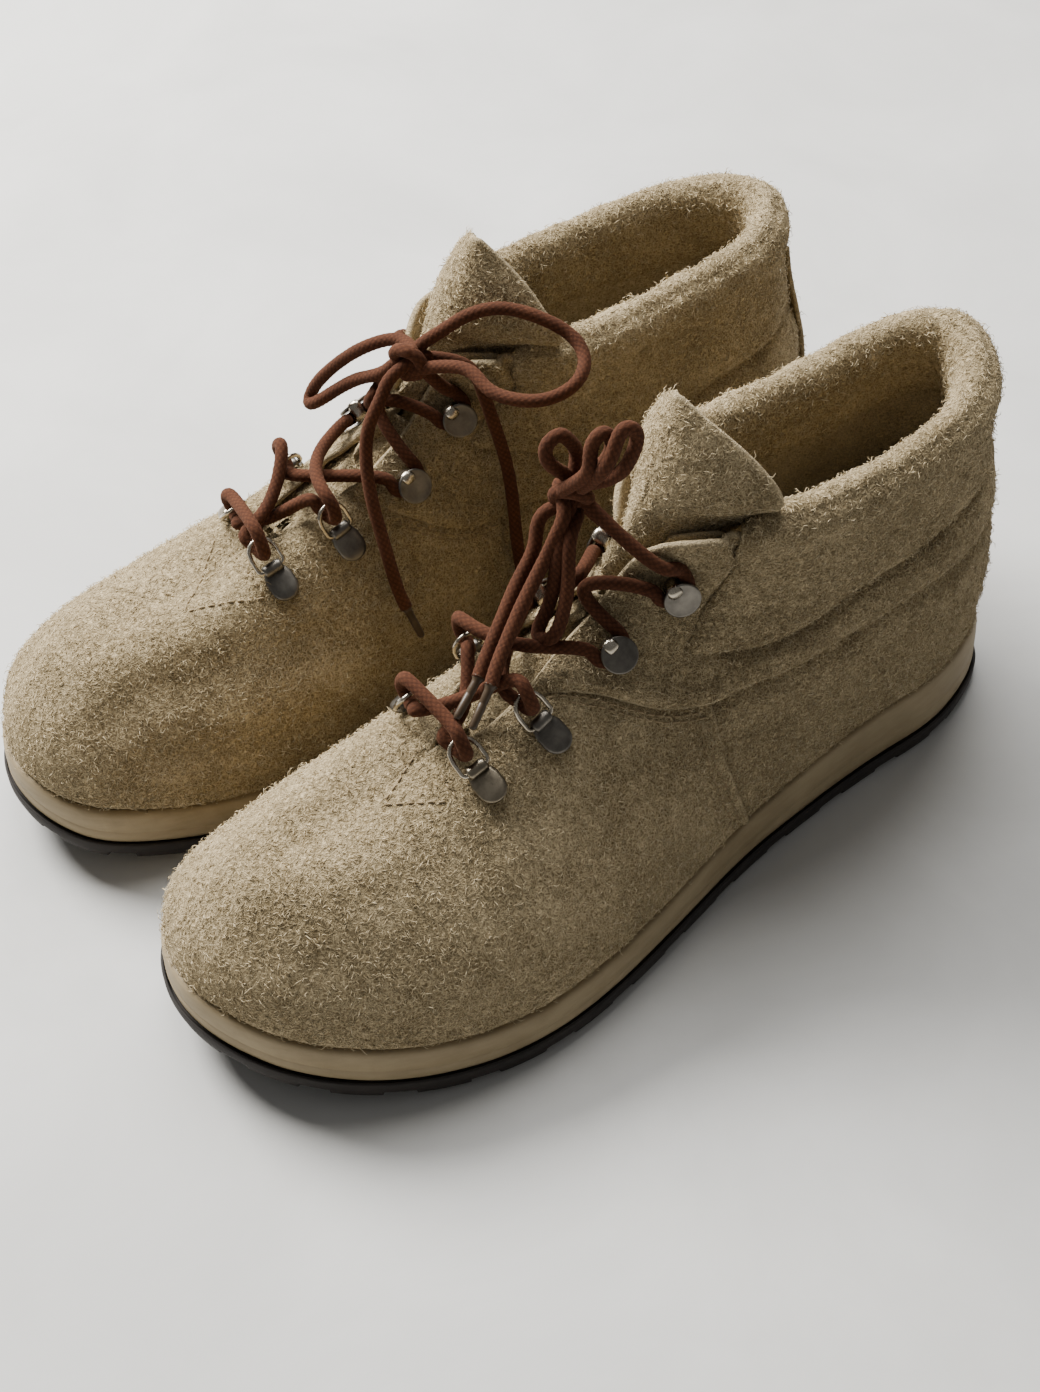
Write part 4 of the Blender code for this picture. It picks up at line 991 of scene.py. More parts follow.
def collar_pad(boot, look):
    """Padded collar: a puffy bolster over the ankle that rolls over the rim into the boot."""
    columns = np.concatenate([PAD_FRONT + 0.05 * np.linspace(0, 1, 24) ** 1.5, np.linspace(0.655, 1.0, 112)])
    rows = 84
    grid = []
    border = []
    rim = []
    for side in (LATERAL, MEDIAL):
        lines = []
        for s in columns:
            line, outermost = collar_section(side, s)
            arc = arc_length(line)
            zero = arc[outermost]
            low_point = skin(side, s, read_seam(PAD_LOW, s))
            start = arc[np.argmin(np.linalg.norm(line[:outermost + 1] - low_point, axis=1))]
            if s < ROLL_START:
                high_point = skin(side, s, read_seam(PAD_HIGH, s))
                stop = arc[np.argmin(np.linalg.norm(line - high_point, axis=1))]
            else:
                stop = min(zero + np.interp(s, ROLL_AT, ROLL_LONG), arc[-1])
            at = np.linspace(start, max(stop, start + 0.5), rows)
            lines.append(read_line(at, arc, line))
            if s > RIM_SEAM_START:
                rim.append(read_line(zero + RIM_SEAM_UP, arc, line))
        lines = np.array(lines)
        border += [lines[:, 0], lines[:, -1], lines[0]]
        grid.append(lines if side > 0 else lines[::-1])
    joint = (grid[0][-1] + grid[1][0]) / 2
    points = np.concatenate([grid[0][:-1], joint[None], grid[1][1:]])
    shape = points.shape[:2]
    points = points.reshape(-1, 3)
    faces = facing(points, grid_faces(*shape), INSIDE_COLLAR)
    normals = point_normals(points, faces)
    near = distance_to(points, np.concatenate([dense(line) for line in border]))
    nose = np.exp(-((points[:, 1] - skin(LATERAL, PAD_FRONT, 0.6)[1]) / 22.0) ** 2)
    puff = np.sqrt(np.clip(1 - (1 - np.clip(near / PAD_ROUND, 0, 1)) ** 2, 0, 1))
    seam = distance_to(points, np.array(rim))
    wrinkles = 0.5 * noise(points * np.array([1, 1, 0.5]), 9.0, 51)
    lift = -0.7 + PAD_PUFF * puff * (1 - 0.35 * nose) + relief(points, 1.3)
    lift += wrinkles * smooth_step(near, 2, 8)
    lift -= 0.8 * np.exp(-(seam / 1.0) ** 2)
    points = points + normals * lift[:, None]
    obj = finish_sheet(boot + "_padded_collar", boot, points, faces, look["suede"], 2.0, 0.2)
    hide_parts(boot + "_collar")


def lining(boot, look):
    def one_side(side):
        t = np.linspace(0, 1, 60)[:, None]
        s = np.linspace(0.53, 1, 130)[None, :]
        top = np.interp(s, (0.53, 0.62, 0.66, 0.70, 0.74), (0.62, 0.80, 0.97, 0.975, 0.86))
        return skin_grid(side, s, 0.05 + (top - 0.05) * t)

    points, faces = two_sides(one_side)
    normals = point_normals(points, faces)
    inner = points - normals * 3.4
    wrinkle = 0.8 * noise(inner * np.array([1, 1, 3.0]), 24.0, 21) + 0.3 * noise(inner, 7.0, 22)
    inner = inner + normals * wrinkle[:, None] * 0.6
    solid, all_faces, edge = thicken(inner, faces, LINING_THICK, RIM_ROUND)
    obj = make_piece(boot + "_inner_lining", boot, solid, all_faces, look["lining"], edge)
    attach(obj, boot + "_boot")
    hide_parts(boot + "_lining")


def backstay(boot, look):
    t = np.linspace(0, 1, 70)[:, None]
    u = np.linspace(-1, 1, 44)[None, :]
    half = np.interp(t, (0, 0.3, 0.7, 1), (0.030, 0.033, 0.028, 0.016))
    s = 1 - np.abs(u) * half
    a = 0.08 + 0.78 * t + 0 * u
    grid = np.where((u > 0)[..., None], skin_grid(LATERAL, s, a), skin_grid(MEDIAL, s, a))
    points = grid.reshape(-1, 3)
    faces = facing(points, grid_faces(*grid.shape[:2]), INSIDE)
    normals = point_normals(points, faces)
    curl = (np.abs(u) ** 4 + 0 * t).reshape(-1)
    rise = (t + 0 * u).reshape(-1)
    lift = 1.6 + 1.8 * smooth_step(rise, 0.25, 0.7) + relief(points)
    lift += 1.6 * curl * smooth_step(rise, 0.1, 0.5)
    points = points + normals * lift[:, None]
    obj = finish_sheet(boot + "_backstay_suede", boot, points, faces, look["suede"], 1.5)
    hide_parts(boot + "_backstay")


TONGUE_LOW = ((0.385, 0.965, 0.90), (0.405, 0.90, 0.82), (0.44, 0.83, 0.75), (0.475, 0.80, 0.72),
              (0.505, 0.79, 0.70), (0.545, 0.80, 0.73), (0.585, 0.83, 0.80))
TONGUE_DEPTH = 3.0
# Its leaf above the lacing: middle, outer edge and inner edge of each row.
TONGUE_LEAF = (((-2.2, -0.2, 114.5), (9.8, 19.3, 110), (-6.8, 19.3, 110)),
               ((-1.2, 4.5, 121), (13.5, 31.5, 117), (-8.5, 31.5, 117)),
               ((-0.8, 8.5, 128.5), (20, 38, 125), (-15, 38.5, 123)),
               ((-0.5, 12.3, 134.8), (26.5, 39.8, 131.5), (-25.5, 41, 128)),
               ((-0.7, 14.5, 139), (26.3, 39.2, 136.6), (-28, 40, 133.5)),
               ((-1.2, 17.4, 145), (21, 37.0, 143.2), (-24, 37.5, 141)),
               ((-2.0, 20.4, 151), (13.8, 33, 149.8), (-17.5, 34.5, 148.5)),
               ((-2.8, 23.2, 156.5), (5.5, 28.8, 155.6), (-10.2, 30, 155.5)),
               ((-3.4, 25.2, 160.2), (-1.2, 26.0, 159.9), (-5.6, 26.2, 159.9)))
SLIT = (-4.5, -5.4, 107.4)
SLIT_HALF = (5.2, 2.7)         # across and along the tongue


def punch(points, faces, normals, centre, half):
    """Cut an oval hole in a sheet where the lace goes through, its lips standing up a little."""
    nearest = np.argmin(np.linalg.norm(points - centre, axis=1))
    outward = normals[nearest]
    across = np.array([1.0, 0, 0]) - outward * outward[0]
    across /= np.linalg.norm(across)
    along = np.cross(outward, across)
    reach = points - points[nearest]
    flat = np.stack([reach @ across / half[0], reach @ along / half[1]], -1)
    radius = np.linalg.norm(flat, axis=1)
    close = np.linalg.norm(reach, axis=1) < 3 * max(half)
    inside = (radius < 1) & close
    cut = inside[faces].all(axis=1)
    rim = np.intersect1d(faces[cut], faces[~cut])
    snap = rim[radius[rim] > 0.2]
    shift = flat[snap] * (1 / radius[snap] - 1)[:, None]
    points = points.copy()
    points[snap] += across * (shift[:, :1] * half[0]) + along * (shift[:, 1:] * half[1])
    lip = np.where(close, np.exp(-((np.maximum(radius, 1) - 1) / 0.5) ** 2), 0)
    points += outward * 0.7 * lip[:, None]
    kept = faces[~cut]
    used = np.unique(kept)
    place = np.full(len(points), -1)
    place[used] = np.arange(len(used))
    return points[used], place[kept]


def tongue(boot, look):
    across = np.linspace(-1, 1, 49)
    sheet = []
    for s, lateral, medial in TONGUE_LOW:
        row = []
        for v in across:
            side, edge = (LATERAL, lateral) if v > 0 else (MEDIAL, medial)
            point, normal, _ = skin_frame(side, s, min(1 - abs(v) * (1 - edge), 0.985))
            row.append(point - normal * TONGUE_DEPTH)
        sheet.append(row)
    for middle_point, outer, inner in TONGUE_LEAF:
        centre = np.array(middle_point, float)
        row = []
        for v in across:
            reach = np.array(outer if v > 0 else inner) - centre
            row.append(centre + reach * np.array([abs(v), v * v, v * v]))
        sheet.append(row)
    sheet = np.array(sheet)
    middle = sheet[:, 24]
    along = arc_length(middle)
    fine = spline(along, sheet.reshape(len(sheet), -1), np.linspace(0, along[-1], 120))
    points = fine.reshape(-1, 3)
    faces = facing(points, grid_faces(120, 49), INSIDE_COLLAR)
    normals = point_normals(points, faces)
    points = points + normals * relief(points, 1.1)[:, None]
    points, faces = punch(points, faces, normals, np.array(SLIT), SLIT_HALF)
    obj = finish_sheet(boot + "_tongue_suede", boot, points, faces, look["suede"], 1.9)
    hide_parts(boot + "_tongue")


# ---------------------------------------------------------------- stitching and nap

STITCH_PITCH = 3.1
STITCH_LONG = 2.3
STITCH_RADIUS = 0.32
STITCH_SHAPE = np.array([(0, 0.5, -0.2), (0.18, 0.95, 0.2), (0.5, 1.0, 0.37), (0.82, 0.95, 0.2),
                         (1.0, 0.5, -0.2)])     # share of its length, share of its radius, height


def stitch_row(line, normals_of):
    """Capsules end to end along a line, half sunk in the leather."""
    along = arc_length(line)
    part, share, height = STITCH_SHAPE.T
    radius = share[:, None] * STITCH_RADIUS + np.zeros((len(share), 6))
    made = []
    for start in np.arange(1.0, along[-1] - STITCH_LONG, STITCH_PITCH):
        path = read_line(start + part * STITCH_LONG, along, line)
        made.append(tube_mesh(path + normals_of(path) * height[:, None], radius, 6))
    return join(made)


def offset_line(side, s, a, shift):
    """Line on the skin moved by shift mm across itself, toward the sole if positive."""
    line = dense(skin(side, s, a), 1.0)
    centre = skin(side, s, np.asarray(a) - 0.02)
    down = centre.mean(axis=0) - line.mean(axis=0)
    tangent = np.gradient(line, axis=0)
    tangent /= np.linalg.norm(tangent, axis=1)[:, None]
    down = down / np.linalg.norm(down) - tangent * (tangent @ (down / np.linalg.norm(down)))[:, None]
    down /= np.linalg.norm(down, axis=1)[:, None]
    return line + down * shift


def stitching(boot, look):
    """Rows along the seams and the triangle at the throat, laid on the napped pieces."""
    every = np.concatenate([points for _, points, _ in NAPPED[boot]])
    normals = np.concatenate([point_normals(points, faces) for _, points, faces in NAPPED[boot]])
    tree = nearest_tree(every)

    def on_surface(path):
        found = [tree.find(place)[1] for place in path]
        return every[found], normals[found]

    rows = []
    for side in (LATERAL, MEDIAL):
        s = np.linspace(0.48, 0.585, 40)
        a = read_seam(PANEL_SEAM[side], s)
        rows.append(offset_line(side, s, a, 2.2))
        rows.append(offset_line(side, s, a, 4.0))
        a = np.linspace(0.03, 0.37, 40)
        rows.append(dense(skin(side, read_seam(SIDE_SEAM, a) - 0.0085, a), 1.0))
        rows.append(dense(skin(side, read_seam(SIDE_SEAM, a) - 0.0165, a), 1.0))
    corners = np.array([skin(*corner) for corner in TRIANGLE[boot]])
    for first, last in zip(corners[:-1], corners[1:]):
        rows.append(dense(np.array([first, last]), 1.0))
    made = []
    for row in rows:
        laid, _ = on_surface(row)
        smooth = laid.copy()
        smooth[1:-1] = (laid[:-2] + laid[1:-1] + laid[2:]) / 3
        made.append(stitch_row(smooth, lambda path: on_surface(path)[1]))
    points, faces = join(made)
    obj = make_piece(boot + "_stitching", boot, points, faces, look["thread"])
    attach(obj, boot + "_boot")


FIBRES_PER_CM2 = 52
FIBRE_LONG = (1.2, 3.6)
FIBRE_RADIUS = (0.08, 0.17)
# A sliver's points: three at the root, three in the middle, the tip.
SLIVER_FACES = np.array([(0, 1, 4, 3), (1, 2, 5, 4), (2, 0, 3, 5), (3, 4, 6, 6), (4, 5, 6, 6), (5, 3, 6, 6),
                         (2, 1, 0, 0)])


def nap(boot, look, seed):
    """Loose curled tufts standing out of each piece of suede, as thin three-sided slivers."""
    random = np.random.default_rng(seed)
    for name, points, faces in NAPPED[boot]:
        area = np.linalg.norm(np.cross(points[faces[:, 2]] - points[faces[:, 0]],
                                       points[faces[:, 3]] - points[faces[:, 1]]), axis=1) / 2
        count = int(FIBRES_PER_CM2 * area.sum() / 100)
        chosen = random.choice(len(faces), count, p=area / area.sum())
        weight = random.dirichlet(np.ones(4), count)[..., None]
        normals = point_normals(points, faces)
        roots = (points[faces[chosen]] * weight).sum(axis=1)
        outward = (normals[faces[chosen]] * weight).sum(axis=1)
        outward /= np.linalg.norm(outward, axis=1)[:, None]
        way = random.normal(size=(count, 3))
        way -= outward * (way * outward).sum(axis=1)[:, None]
        way /= np.linalg.norm(way, axis=1)[:, None]
        sideways = np.cross(outward, way)
        long = random.uniform(*FIBRE_LONG, count)[:, None]
        radius = random.uniform(*FIBRE_RADIUS, count)[:, None]
        standing = random.random(count)[:, None] ** 4
        bend = random.uniform(-0.5, 0.5, count)[:, None]
        lift = 0.10 + 0.5 * standing
        middle_point = roots + long * (way * 0.45 + outward * lift * 0.9 - sideways * bend * 0.35)
        tip = roots + long * (way * 0.85 + outward * (lift - 0.06) + sideways * bend * 0.5)
        start = roots - outward * 0.1
        rings = []
        for place, size in ((start, 1.0), (middle_point, 0.9)):
            for k in range(3):
                turn = 2 * math.pi * k / 3
                rings.append(place + (outward * math.cos(turn) + sideways * math.sin(turn)) * radius * size)
        slivers = np.stack(rings + [tip], 1).reshape(-1, 3)
        base = np.arange(count)[:, None] * 7
        sides = (base[:, None] + SLIVER_FACES[None]).reshape(-1, 4)
        obj = make_piece(name + "_nap", boot, slivers, sides, look["fibre"])
        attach(obj, boot + "_boot")


# ---------------------------------------------------------------- sole

def outline_ring(inset, lift, count, notch=None):
    """Closed ring of points round the sole: lateral side toe to heel, then medial back to the toe."""
    s = np.linspace(0, 1, count + 1)
    sides = []
    for side in (LATERAL, MEDIAL):
        line, inwards = side_outline(side, inset)
        even = np.linspace(0, 1, len(line))
        depth = np.zeros(len(s)) if notch is None else notch(s)
        xy = read_line(s, even, line) + read_line(s, even, inwards) * depth[:, None]
        sides.append(np.column_stack([xy, lift(xy[:, 1])]))
    return np.concatenate([sides[0], sides[1][-2:0:-1]])


def sole_block(rings, spread=10):
    """Solid lofted through outline rings; its top and bottom are filled across in strips."""
    count = len(rings[0])
    half = count // 2
    points = [np.concatenate(rings)]
    faces = [grid_faces(len(rings), count, ring=True)]
    total = len(rings) * count
    for level, flip in ((0, True), (len(rings) - 1, False)):
        ring = rings[level]
        lateral = ring[:half + 1]
        medial = np.concatenate([ring[:1], ring[:half - 1:-1]])
        t = np.linspace(0, 1, spread)[None, :, None]
        strip = lateral[:, None] * (1 - t) + medial[:, None] * t
        made = grid_faces(half + 1, spread, first=total)
        faces.append(made[:, ::-1] if flip else made)
        points.append(strip.reshape(-1, 3))
        total += (half + 1) * spread
    points, faces = weld(np.concatenate(points), np.concatenate(faces), 0.002)
    return points, outwards(points, faces)


def outsole(boot, look):
    def lugs(depth):
        def notch(s):
            step = (s * 112).astype(int) % 8
            return np.where((step >= 5) & (s > 0.015) & (s < 0.985), depth, 0.0)
        return notch

    profile = ((0.0, 2.2, 1.6), (0.5, 1.7, 1.6), (1.9, 1.4, 1.3), (2.5, 1.1, 0.1), (3.2, 0.95, 0.0),
               (OUTSOLE_THICK - 0.5, 0.9, 0.0), (OUTSOLE_THICK - 0.1, 1.15, 0.0), (OUTSOLE_THICK, 1.7, 0.0))
    rings = [outline_ring(inset, lambda y, z=z: spring(y) + z, 448, lugs(depth))
             for z, inset, depth in profile]
    points, faces = sole_block(rings)
    obj = make_piece(boot + "_outsole_rubber", boot, points, faces, look["rubber"])
    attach(obj, boot + "_boot")
    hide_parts(boot + "_outsole")


def midsole(boot, look):
    """Foam wall: waisted a little, with a parting line and a rounded upper lip."""
    rings = []
    profile = ((0.0, 2.9), (0.03, 2.35), (0.15, 2.15), (0.35, 2.2), (0.37, 2.35), (0.39, 2.2), (0.62, 2.3),
               (0.82, 2.6), (0.93, 3.0), (0.985, 3.7), (1.0, 4.7), (1.0, 6.5))
    for part, inset in profile:
        def level(y, part=part):
            low = spring(y) + OUTSOLE_THICK + GAP
            return low + (midsole_top(y) - low) * part
        rings.append(outline_ring(inset, level, 220))
    points, faces = sole_block(rings)
    normals = point_normals(points, faces)
    points = points + normals * (0.16 * noise(points, 22.0, 31) + 0.05 * noise(points, 6.0, 32))[:, None]
    obj = make_piece(boot + "_midsole_foam", boot, points, faces, look["foam"])
    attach(obj, boot + "_boot")
    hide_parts(boot + "_midsole")


# ---------------------------------------------------------------- lace hardware

def placed(points, frame):
    move = np.array(frame)
    return points @ move[:3, :3].T + move[:3, 3]


def plate_block(outline, levels):
    """Solid lofted up through copies of a flat outline: each level is (inset scale, height)."""
    outline = np.asarray(outline, float)
    centre = outline.mean(axis=0)
    rings = [np.column_stack([centre + (outline - centre) * scale, np.full(len(outline), height)])
             for scale, height in levels]
    count = len(outline)
    points = np.concatenate(rings + [[(*centre, levels[0][1])], [(*centre, levels[-1][1])]])
    faces = np.concatenate([grid_faces(len(rings), count, ring=True),
                            caps(count, (len(rings) - 1) * count, len(points))])
    return points, outwards(points, faces)


def ring_plate(boot, key, look):
    """Pressed tongue-shaped plate, domed, with its front edge rolled round the ring's bar."""
    flat = PLATE_WIDE / 2
    outline = [(-PLATE_LONG + flat + flat * math.cos(t), flat * math.sin(t))
               for t in np.linspace(math.pi / 2, 1.5 * math.pi, 25)]
    outline += [(-3.0, -flat), (-1.2, -flat * 0.86), (0.4, -BARREL_LONG / 2), (1.2, -BARREL_LONG / 2),
                (1.2, BARREL_LONG / 2), (0.4, BARREL_LONG / 2), (-1.2, flat * 0.86), (-3.0, flat)]
    low = -BARREL_RADIUS
    body = plate_block(outline, ((0.93, low - 0.1), (1.0, low + 0.15), (1.0, low + 0.7), (0.95, low + 1.05),
                                 (0.78, low + 1.3), (0.45, low + 1.5), (0.2, low + 1.55)))
    turn = np.linspace(-BARREL_LONG / 2, BARREL_LONG / 2, 9)
    radius = np.array([1.75, 1.95, 2.0, 2.0, 2.0, 2.0, 2.0, 1.95, 1.75])[:, None] + np.zeros((9, 24))
    barrel = tube_mesh(np.column_stack([0 * turn, turn, 0 * turn]), radius, 24)
    points, faces = join([body, barrel])
    finish = look["brass"] if key == "d1_lateral" else look["metal"]
    obj = make_piece(boot + "_plate_" + key, boot, placed(points, ring_frame(D_RINGS[key])), faces, finish)
    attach(obj, boot + "_boot")
    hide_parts(boot + "_ring_plate_" + key)


def d_ring(boot, key, look):
    corners = np.array([(x, y, RING_TILT * x) for x, y in ring_line()])
    closed = np.concatenate([corners, corners[:1]])
    along = arc_length(closed)
    at = np.linspace(0, along[-1], 121)[:-1]
    line = read_line(at, along, closed)
    for _ in range(4):
        line = (np.roll(line, 1, axis=0) + 2 * line + np.roll(line, -1, axis=0)) / 4
    points, faces = tube_mesh(line, WIRE_RADIUS, 14, closed=True)
    obj = make_piece(boot + "_ring_" + key, boot, placed(points, ring_frame(D_RINGS[key])), faces,
                     look["nickel"])
    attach(obj, boot + "_ring_" + key)
    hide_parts(boot + "_d_ring_" + key)


def lace_hook(boot, key, look):
    """Speed hook: foot under the leather's nap, bright bent neck, disc with a pressed-in middle."""
    side, s, a = HOOKS[key]
    point, normal, up = skin_frame(side, s, a)
    frame = frame_matrix(point + normal * HOOK_GAP, up, np.cross(normal, up), normal)
    round_turn = np.linspace(0, 2 * math.pi, 41)[:-1]
    disc = [(-0.6 + HEAD_RADIUS * math.cos(t), HEAD_RADIUS * math.sin(t)) for t in round_turn]
    low = HEAD_LIFT - HEAD_THICK / 2
    head = plate_block(disc, ((0.95, low), (1.0, low + 0.2), (1.0, low + 0.75), (0.97, low + 0.95),
                              (0.91, low + 1.02), (0.86, low + 0.95), (0.5, low + 0.9), (0.15, low + 0.9)))
    foot = [(-0.5 + 4.6 * math.cos(t), 3.2 * math.sin(t)) for t in round_turn]
    base = plate_block(foot, ((0.94, -0.1), (1.0, 0.15), (1.0, 0.8), (0.93, 1.05), (0.5, 1.12)))
    arc = np.array([(2.2, 0, 0.6), (3.5, 0, 1.3), (4.1, 0, 2.6), (4.2, 0, 4.4), (4.3, 0, 5.6), (3.9, 0, 6.5),
                    (2.7, 0, 6.7), (1.5, 0, 6.1)])
    knots = np.linspace(0, 1, len(arc))
    neck_line = spline(knots, arc, np.linspace(0, 1, 26))
    angle = np.linspace(0, 2 * math.pi, 16, endpoint=False)
    section = 1 / np.sqrt((np.cos(angle) / 2.3) ** 2 + (np.sin(angle) / 0.85) ** 2)
    neck = tube_mesh(neck_line, np.broadcast_to(section, (26, 16)).copy(), 16, first_up=(1.0, 0, 0.2))
    dark = join([head, base])
    obj = make_piece(boot + "_lace_" + key, boot, placed(dark[0], frame), dark[1], look["metal"])
    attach(obj, boot + "_boot")
    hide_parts(boot + "_hook_" + key)
    bright = make_piece(boot + "_neck_" + key, boot, placed(neck[0], frame), neck[1], look["nickel"])
    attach(bright, boot + "_boot")


# ---------------------------------------------------------------- cord

HOOK_PASS = 4.2                # lace's middle above the leather inside a hook
RING_PASS = 4.9                # lace's middle from the barrel inside a ring

# Bows of the two boots, mm in the boot's own frame, each from the knot outwards to the tip.
KNOT = {"left": (-11.0, -4.0, 137.0), "right": (-8.0, 0.0, 130.5)}
LOOPS = {
    "left": {LATERAL: (((0, -8, 152), (0, -6.5, 160), (1, -3.5, 164), (1.5, -1, 161), (-1, -1, 152)),
                       ((4, -6, 154), (6, -3.5, 162), (6, 0, 167), (7, 3, 165), (7, 2, 158), (2, -1, 148))),
             MEDIAL: (((-14, -1, 146), (-14, -3.5, 152), (-14, -7, 155.5), (-15, -10.5, 152.5),
                       (-14, -9.5, 146)),
                      ((-5, -13, 128), (-3, -17, 117), (-1.5, -21.5, 107), (0, -25.5, 101.5),
                       (4.3, -24.5, 102.5), (3.5, -19, 110), (0.5, -15, 119), (-3.5, -11, 129)))},
    "right": {MEDIAL: (((-12, 8, 138), (-15, 13.8, 142.5), (-20.4, 23.2, 146), (-30, 33.7, 144),
                        (-37.8, 39.4, 140), (-45.5, 38.7, 137), (-52, 31.3, 135), (-51.5, 22.3, 133),
                        (-46, 15.1, 132), (-36.5, 10.3, 132), (-25, 7.8, 133)),),
              LATERAL: (((-2, 0, 131.5), (7, -6, 127), (16, -12.5, 118), (24, -18, 107), (27.5, -20.5, 99.5),
                         (25.5, -22, 98), (18, -17.5, 105), (8, -11, 115), (-2, -6, 123)),)},
}
TAILS = {
    "left": {LATERAL: ((-8, -10, 134.5), (-6, -14, 129), (-6, -18.5, 121.5), (-4.6, -24.5, 115.5),
                       (-2.3, -30.5, 111), (0.2, -35.9, 107), (3.1, -41.6, 103), (6.3, -46.8, 99)),
             MEDIAL: ((-14, -12, 130.5), (-12.5, -17, 122.5), (-10.5, -23.5, 115.5), (-7.5, -30.5, 110.5),
                      (-4.6, -36.5, 106), (-2.0, -42, 101.8), (0.8, -47.2, 98))},
    "right": {MEDIAL: ((-16, 12, 127.5), (-22, 16.5, 118), (-25, 18.5, 106), (-26.5, 20.5, 95),
                       (-29, 21, 85), (-32, 20.5, 73), (-34.5, 20, 62), (-37, 20, 52)),
              LATERAL: ((-10, -7.5, 127), (-11, -13, 121), (-12.5, -18, 114.5), (-15, -21.5, 105),
                        (-21, -23.8, 94), (-26.5, -24.3, 84.5), (-32, -24.5, 75), (-36, -24, 65.5),
                        (-38.5, -23, 60))},
}
AGLET_WAY = {"left": {LATERAL: (0.36, -0.81, -0.6), MEDIAL: (0.34, -0.85, -0.45)},
             "right": {MEDIAL: (-0.13, 0.05, -1.0), LATERAL: (-0.2, 0.28, -1.0)}}


def hook_turn(key, other_end):
    """Lace round a hook's neck, from the heel side to the toe side."""
    side, s, a = HOOKS[key]
    point, normal, up = skin_frame(side, s, a)
    across = np.cross(normal, up) * side
    turn = [(6.5, -4.9), (3.2, -4.9), (0.3, -3.6), (-0.75, 0), (0.3, 3.6), (3.2, 4.9), (6.5, 4.9)]
    line = [point + up * x + across * y + normal * HOOK_PASS for x, y in turn]
    return line[::-1] if other_end else line


def ring_turn(key, from_above):
    """Lace round the bow of a ring: over it, down through the ring, back beneath it."""
    frame = ring_frame(D_RINGS[key])
    toe = D_RINGS[key][0]
    bow = RING_LONG - WIRE_RADIUS
    turn = [(bow + 4.5, -1.6, bow * RING_TILT + 4.6), (bow + 0.5, -1.2, bow * RING_TILT + 5.2),
            (RING_PASS + 0.3, -0.3, bow * RING_TILT + 2.4), (RING_PASS - 0.3, 0, RING_TILT * RING_PASS + 0.2),
            (RING_PASS + 0.9, 0.5, 0.9), (bow + 1.4, 1.2, 0.25), (bow + 4.5, 1.6, 0.6)]
    line = [np.array(frame @ Vector((x, y * toe, z))) for x, y, z in turn]
    return line if from_above else line[::-1]


def middle(s, lift):
    """Point above the ridge between the two sides."""
    point = (skin(LATERAL, s, 1.0) + skin(MEDIAL, s, 1.0)) / 2
    return point + np.array([0, -0.55, 0.83]) * lift


def above(side, s, a, lift):
    point, normal, _ = skin_frame(side, s, a)
    return point + normal * lift


def wrap(boot, start):
    """One turn of the lace about the knot."""
    centre = np.array(KNOT[boot])
    axis = np.array([0.45, -0.75, -0.48]) if boot == "left" else np.array([-0.5, -0.6, -0.2])
    axis /= np.linalg.norm(axis)
    first = np.cross(axis, (0, 0, 1.0))
    first /= np.linalg.norm(first)
    second = np.cross(axis, first)
    turn = [centre + (first * math.cos(t) + second * math.sin(t)) * 4.6 + axis * 0.6 * t
            for t in start + np.linspace(0, 1.6 * math.pi, 7)]
    return turn


def lace_route(boot):
    """Whole lace from the lateral tip through knot, hooks and rings and back to the medial tip."""
    knot = np.array(KNOT[boot])
    route = [np.array(p) for p in TAILS[boot][LATERAL][::-1]]
    route += wrap(boot, 0.0)
    for loop in LOOPS[boot][LATERAL]:
        route += [np.array(p) for p in loop]
        route.append(knot + np.array([1.5, 0, 1.0]))
    route += [knot + np.array([5.5, 1.0, -3.0]), above(LATERAL, 0.65, 0.95, 5.0)]
    route += hook_turn("h2_lateral", False)
    route += [middle(0.58, 3.6) + np.array([2.2, 0, 0])]
    route += hook_turn("h1_lateral", False)
    route += [middle(0.505, 8.2)]
    route += ring_turn("d2_medial", True)
    route += [middle(0.415, 3.4)]
    route += ring_turn("d1_lateral", False)
    route += ring_turn("d1_medial", True)
    route += [middle(0.425, 8.0)]
    route += ring_turn("d2_lateral", True)
    route += [middle(0.485, 4.8)]
    route += hook_turn("h1_medial", True)
    route += [middle(0.58, 3.6) - np.array([2.2, 0, 0])]
    route += hook_turn("h2_medial", True)
    route += [above(MEDIAL, 0.64, 0.90, 5.0), knot + np.array([-4.0, 2.0, -5.0])]
    for loop in LOOPS[boot][MEDIAL]:
        route.append(knot + np.array([-1.5, 0, 1.0]))
        route += [np.array(p) for p in loop]
    route += wrap(boot, math.pi)[::-1]
    route += [np.array(p) for p in TAILS[boot][MEDIAL]]
    return np.array(route)


def smooth_route(route):
    along = np.concatenate([[0], np.cumsum(np.sqrt(np.linalg.norm(np.diff(route, axis=0), axis=1)))])
    return spline(along, route, np.linspace(0, along[-1], 1600))


BRAID_AROUND = 7               # strands seen round the cord
BRAID_PITCH = 2.1              # length of one crossing of the braid
BRAID_RELIEF = 0.075           # how far the strands stand out, as a share of the radius
CORD_STEP = 0.42


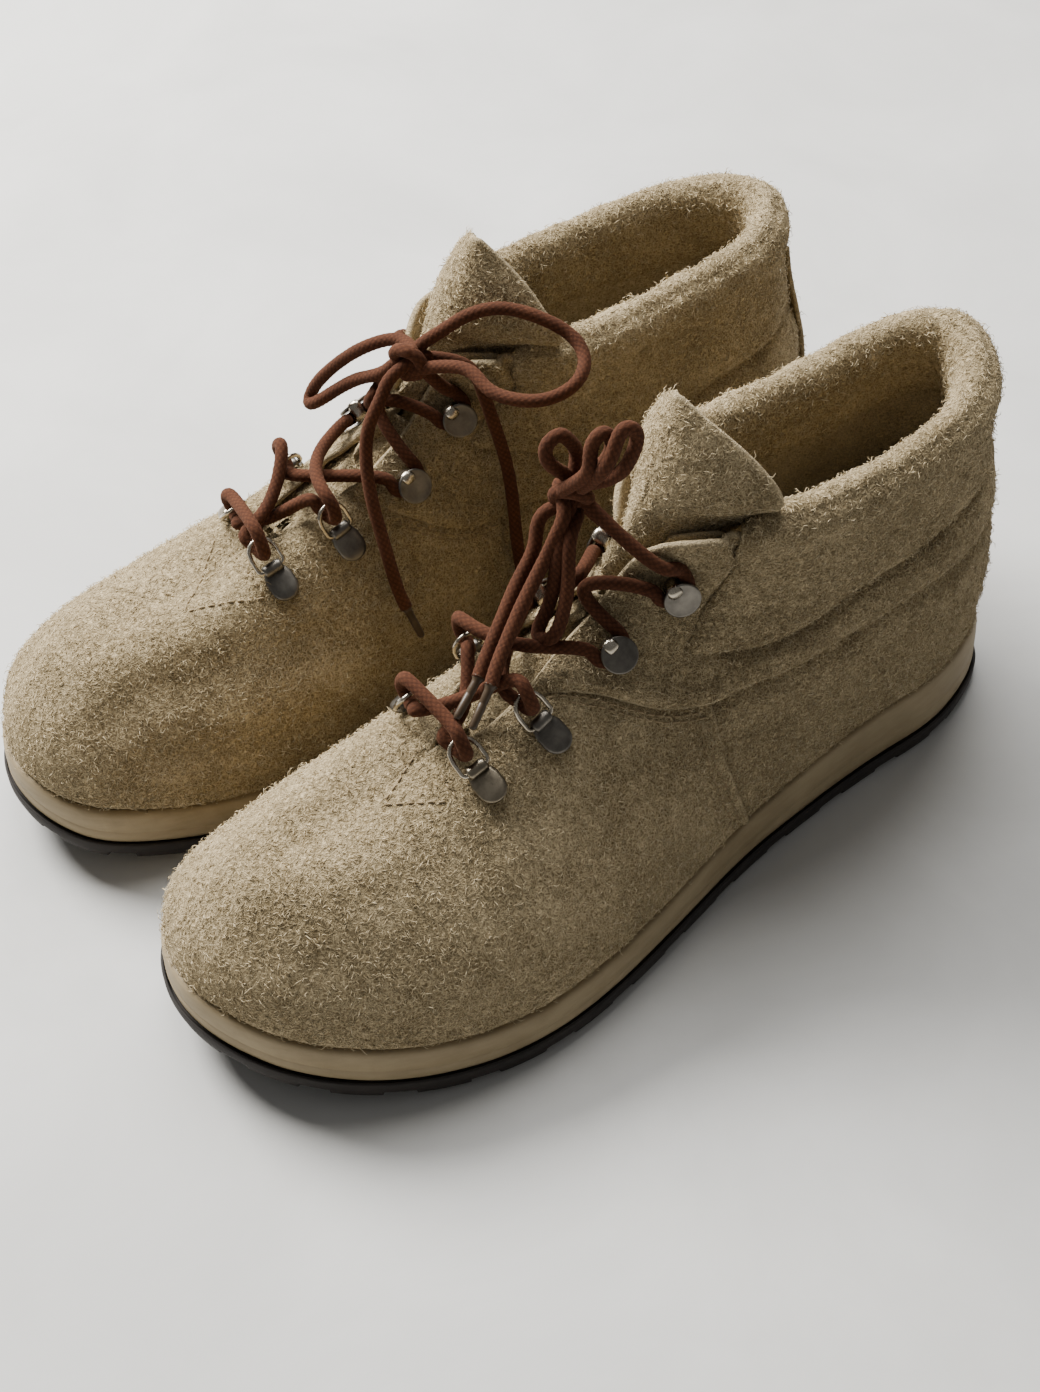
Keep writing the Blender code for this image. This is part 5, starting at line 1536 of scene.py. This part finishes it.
def lace(boot, look):
    route = dense(smooth_route(lace_route(boot)), CORD_STEP)
    sides = 30
    along = arc_length(route)
    u = np.linspace(0, 1, sides, endpoint=False)[None, :] * BRAID_AROUND
    v = along[:, None] / BRAID_PITCH
    weave = np.abs(np.cos(math.pi * (u + v)) * np.cos(math.pi * (u - v))) ** 0.6
    radius = LACE_RADIUS * (1.0 - BRAID_RELIEF * (1 - weave)) + 0.05 * noise(route, 3.0, 41)[:, None]
    points, faces = tube_mesh(route, radius, sides)
    # The braid pattern also goes into the cord's 'edge' attribute, which cord_look turns into painted shade
    # in the grooves and a painted highlight on the crowns.
    obj = make_piece(boot + "_lace_cord", boot, points, faces, look["cord"],
                     edge=np.concatenate([weave.reshape(-1), [0.0, 0.0]]))
    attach(obj, boot + "_boot")
    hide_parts(boot + "_lace")
    tips = [aglet(boot, side, look) for side in (LATERAL, MEDIAL)]


def aglet(boot, side, look):
    """Moulded tip: a tube with a flared mouth over the cord and a rounded end."""
    start = np.array(TAILS[boot][side][-1], float)
    way = np.array(AGLET_WAY[boot][side], float)
    way /= np.linalg.norm(way)
    shape = ((-0.5, 2.0), (-0.3, 2.08), (0.3, 1.75), (0.9, 1.42), (1.8, 1.3), (5.0, 1.28), (5.3, 1.16),
             (5.6, 1.28), (9.0, 1.25), (12.0, 1.2), (12.9, 1.0), (13.3, 0.55))
    line = np.array([start + way * (distance + 0.1) for distance, _ in shape])
    radius = np.array([[size] for _, size in shape]) + np.zeros((len(shape), 18))
    points, faces = tube_mesh(line, radius, 18)
    suffix = "lateral" if side > 0 else "medial"
    obj = make_piece(boot + "_tip_" + suffix, boot, points, faces, look["tip"])
    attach(obj, boot + "_boot")
    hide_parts(boot + "_aglet_" + suffix)
    return obj


# ---------------------------------------------------------------- build

HIDDEN_LOOKS = {"shank": "steel", "insole_board": "board", "footbed": "footbed", "heel_counter": "board"}


def build_boot(boot, look, seed):
    vamp(boot, look)
    quarter(boot, look)
    for side in (LATERAL, MEDIAL):
        ankle_panel(boot, side, look)
    collar_pad(boot, look)
    lining(boot, look)
    backstay(boot, look)
    tongue(boot, look)
    stitching(boot, look)
    nap(boot, look, seed)
    outsole(boot, look)
    midsole(boot, look)
    for key in D_RINGS:
        ring_plate(boot, key, look)
        d_ring(boot, key, look)
    for key in HOOKS:
        lace_hook(boot, key, look)
    lace(boot, look)
    for part, finish in HIDDEN_LOOKS.items():
        node = frame["nodes"][boot + "_" + part]
        for material_slot in node.material_slots:
            material_slot.material = look[finish]


def main():
    make_camera()
    make_floor()
    make_lights()
    look = make_looks()
    for seed, boot in enumerate(BOOTS):
        build_boot(boot, look, seed)


main()
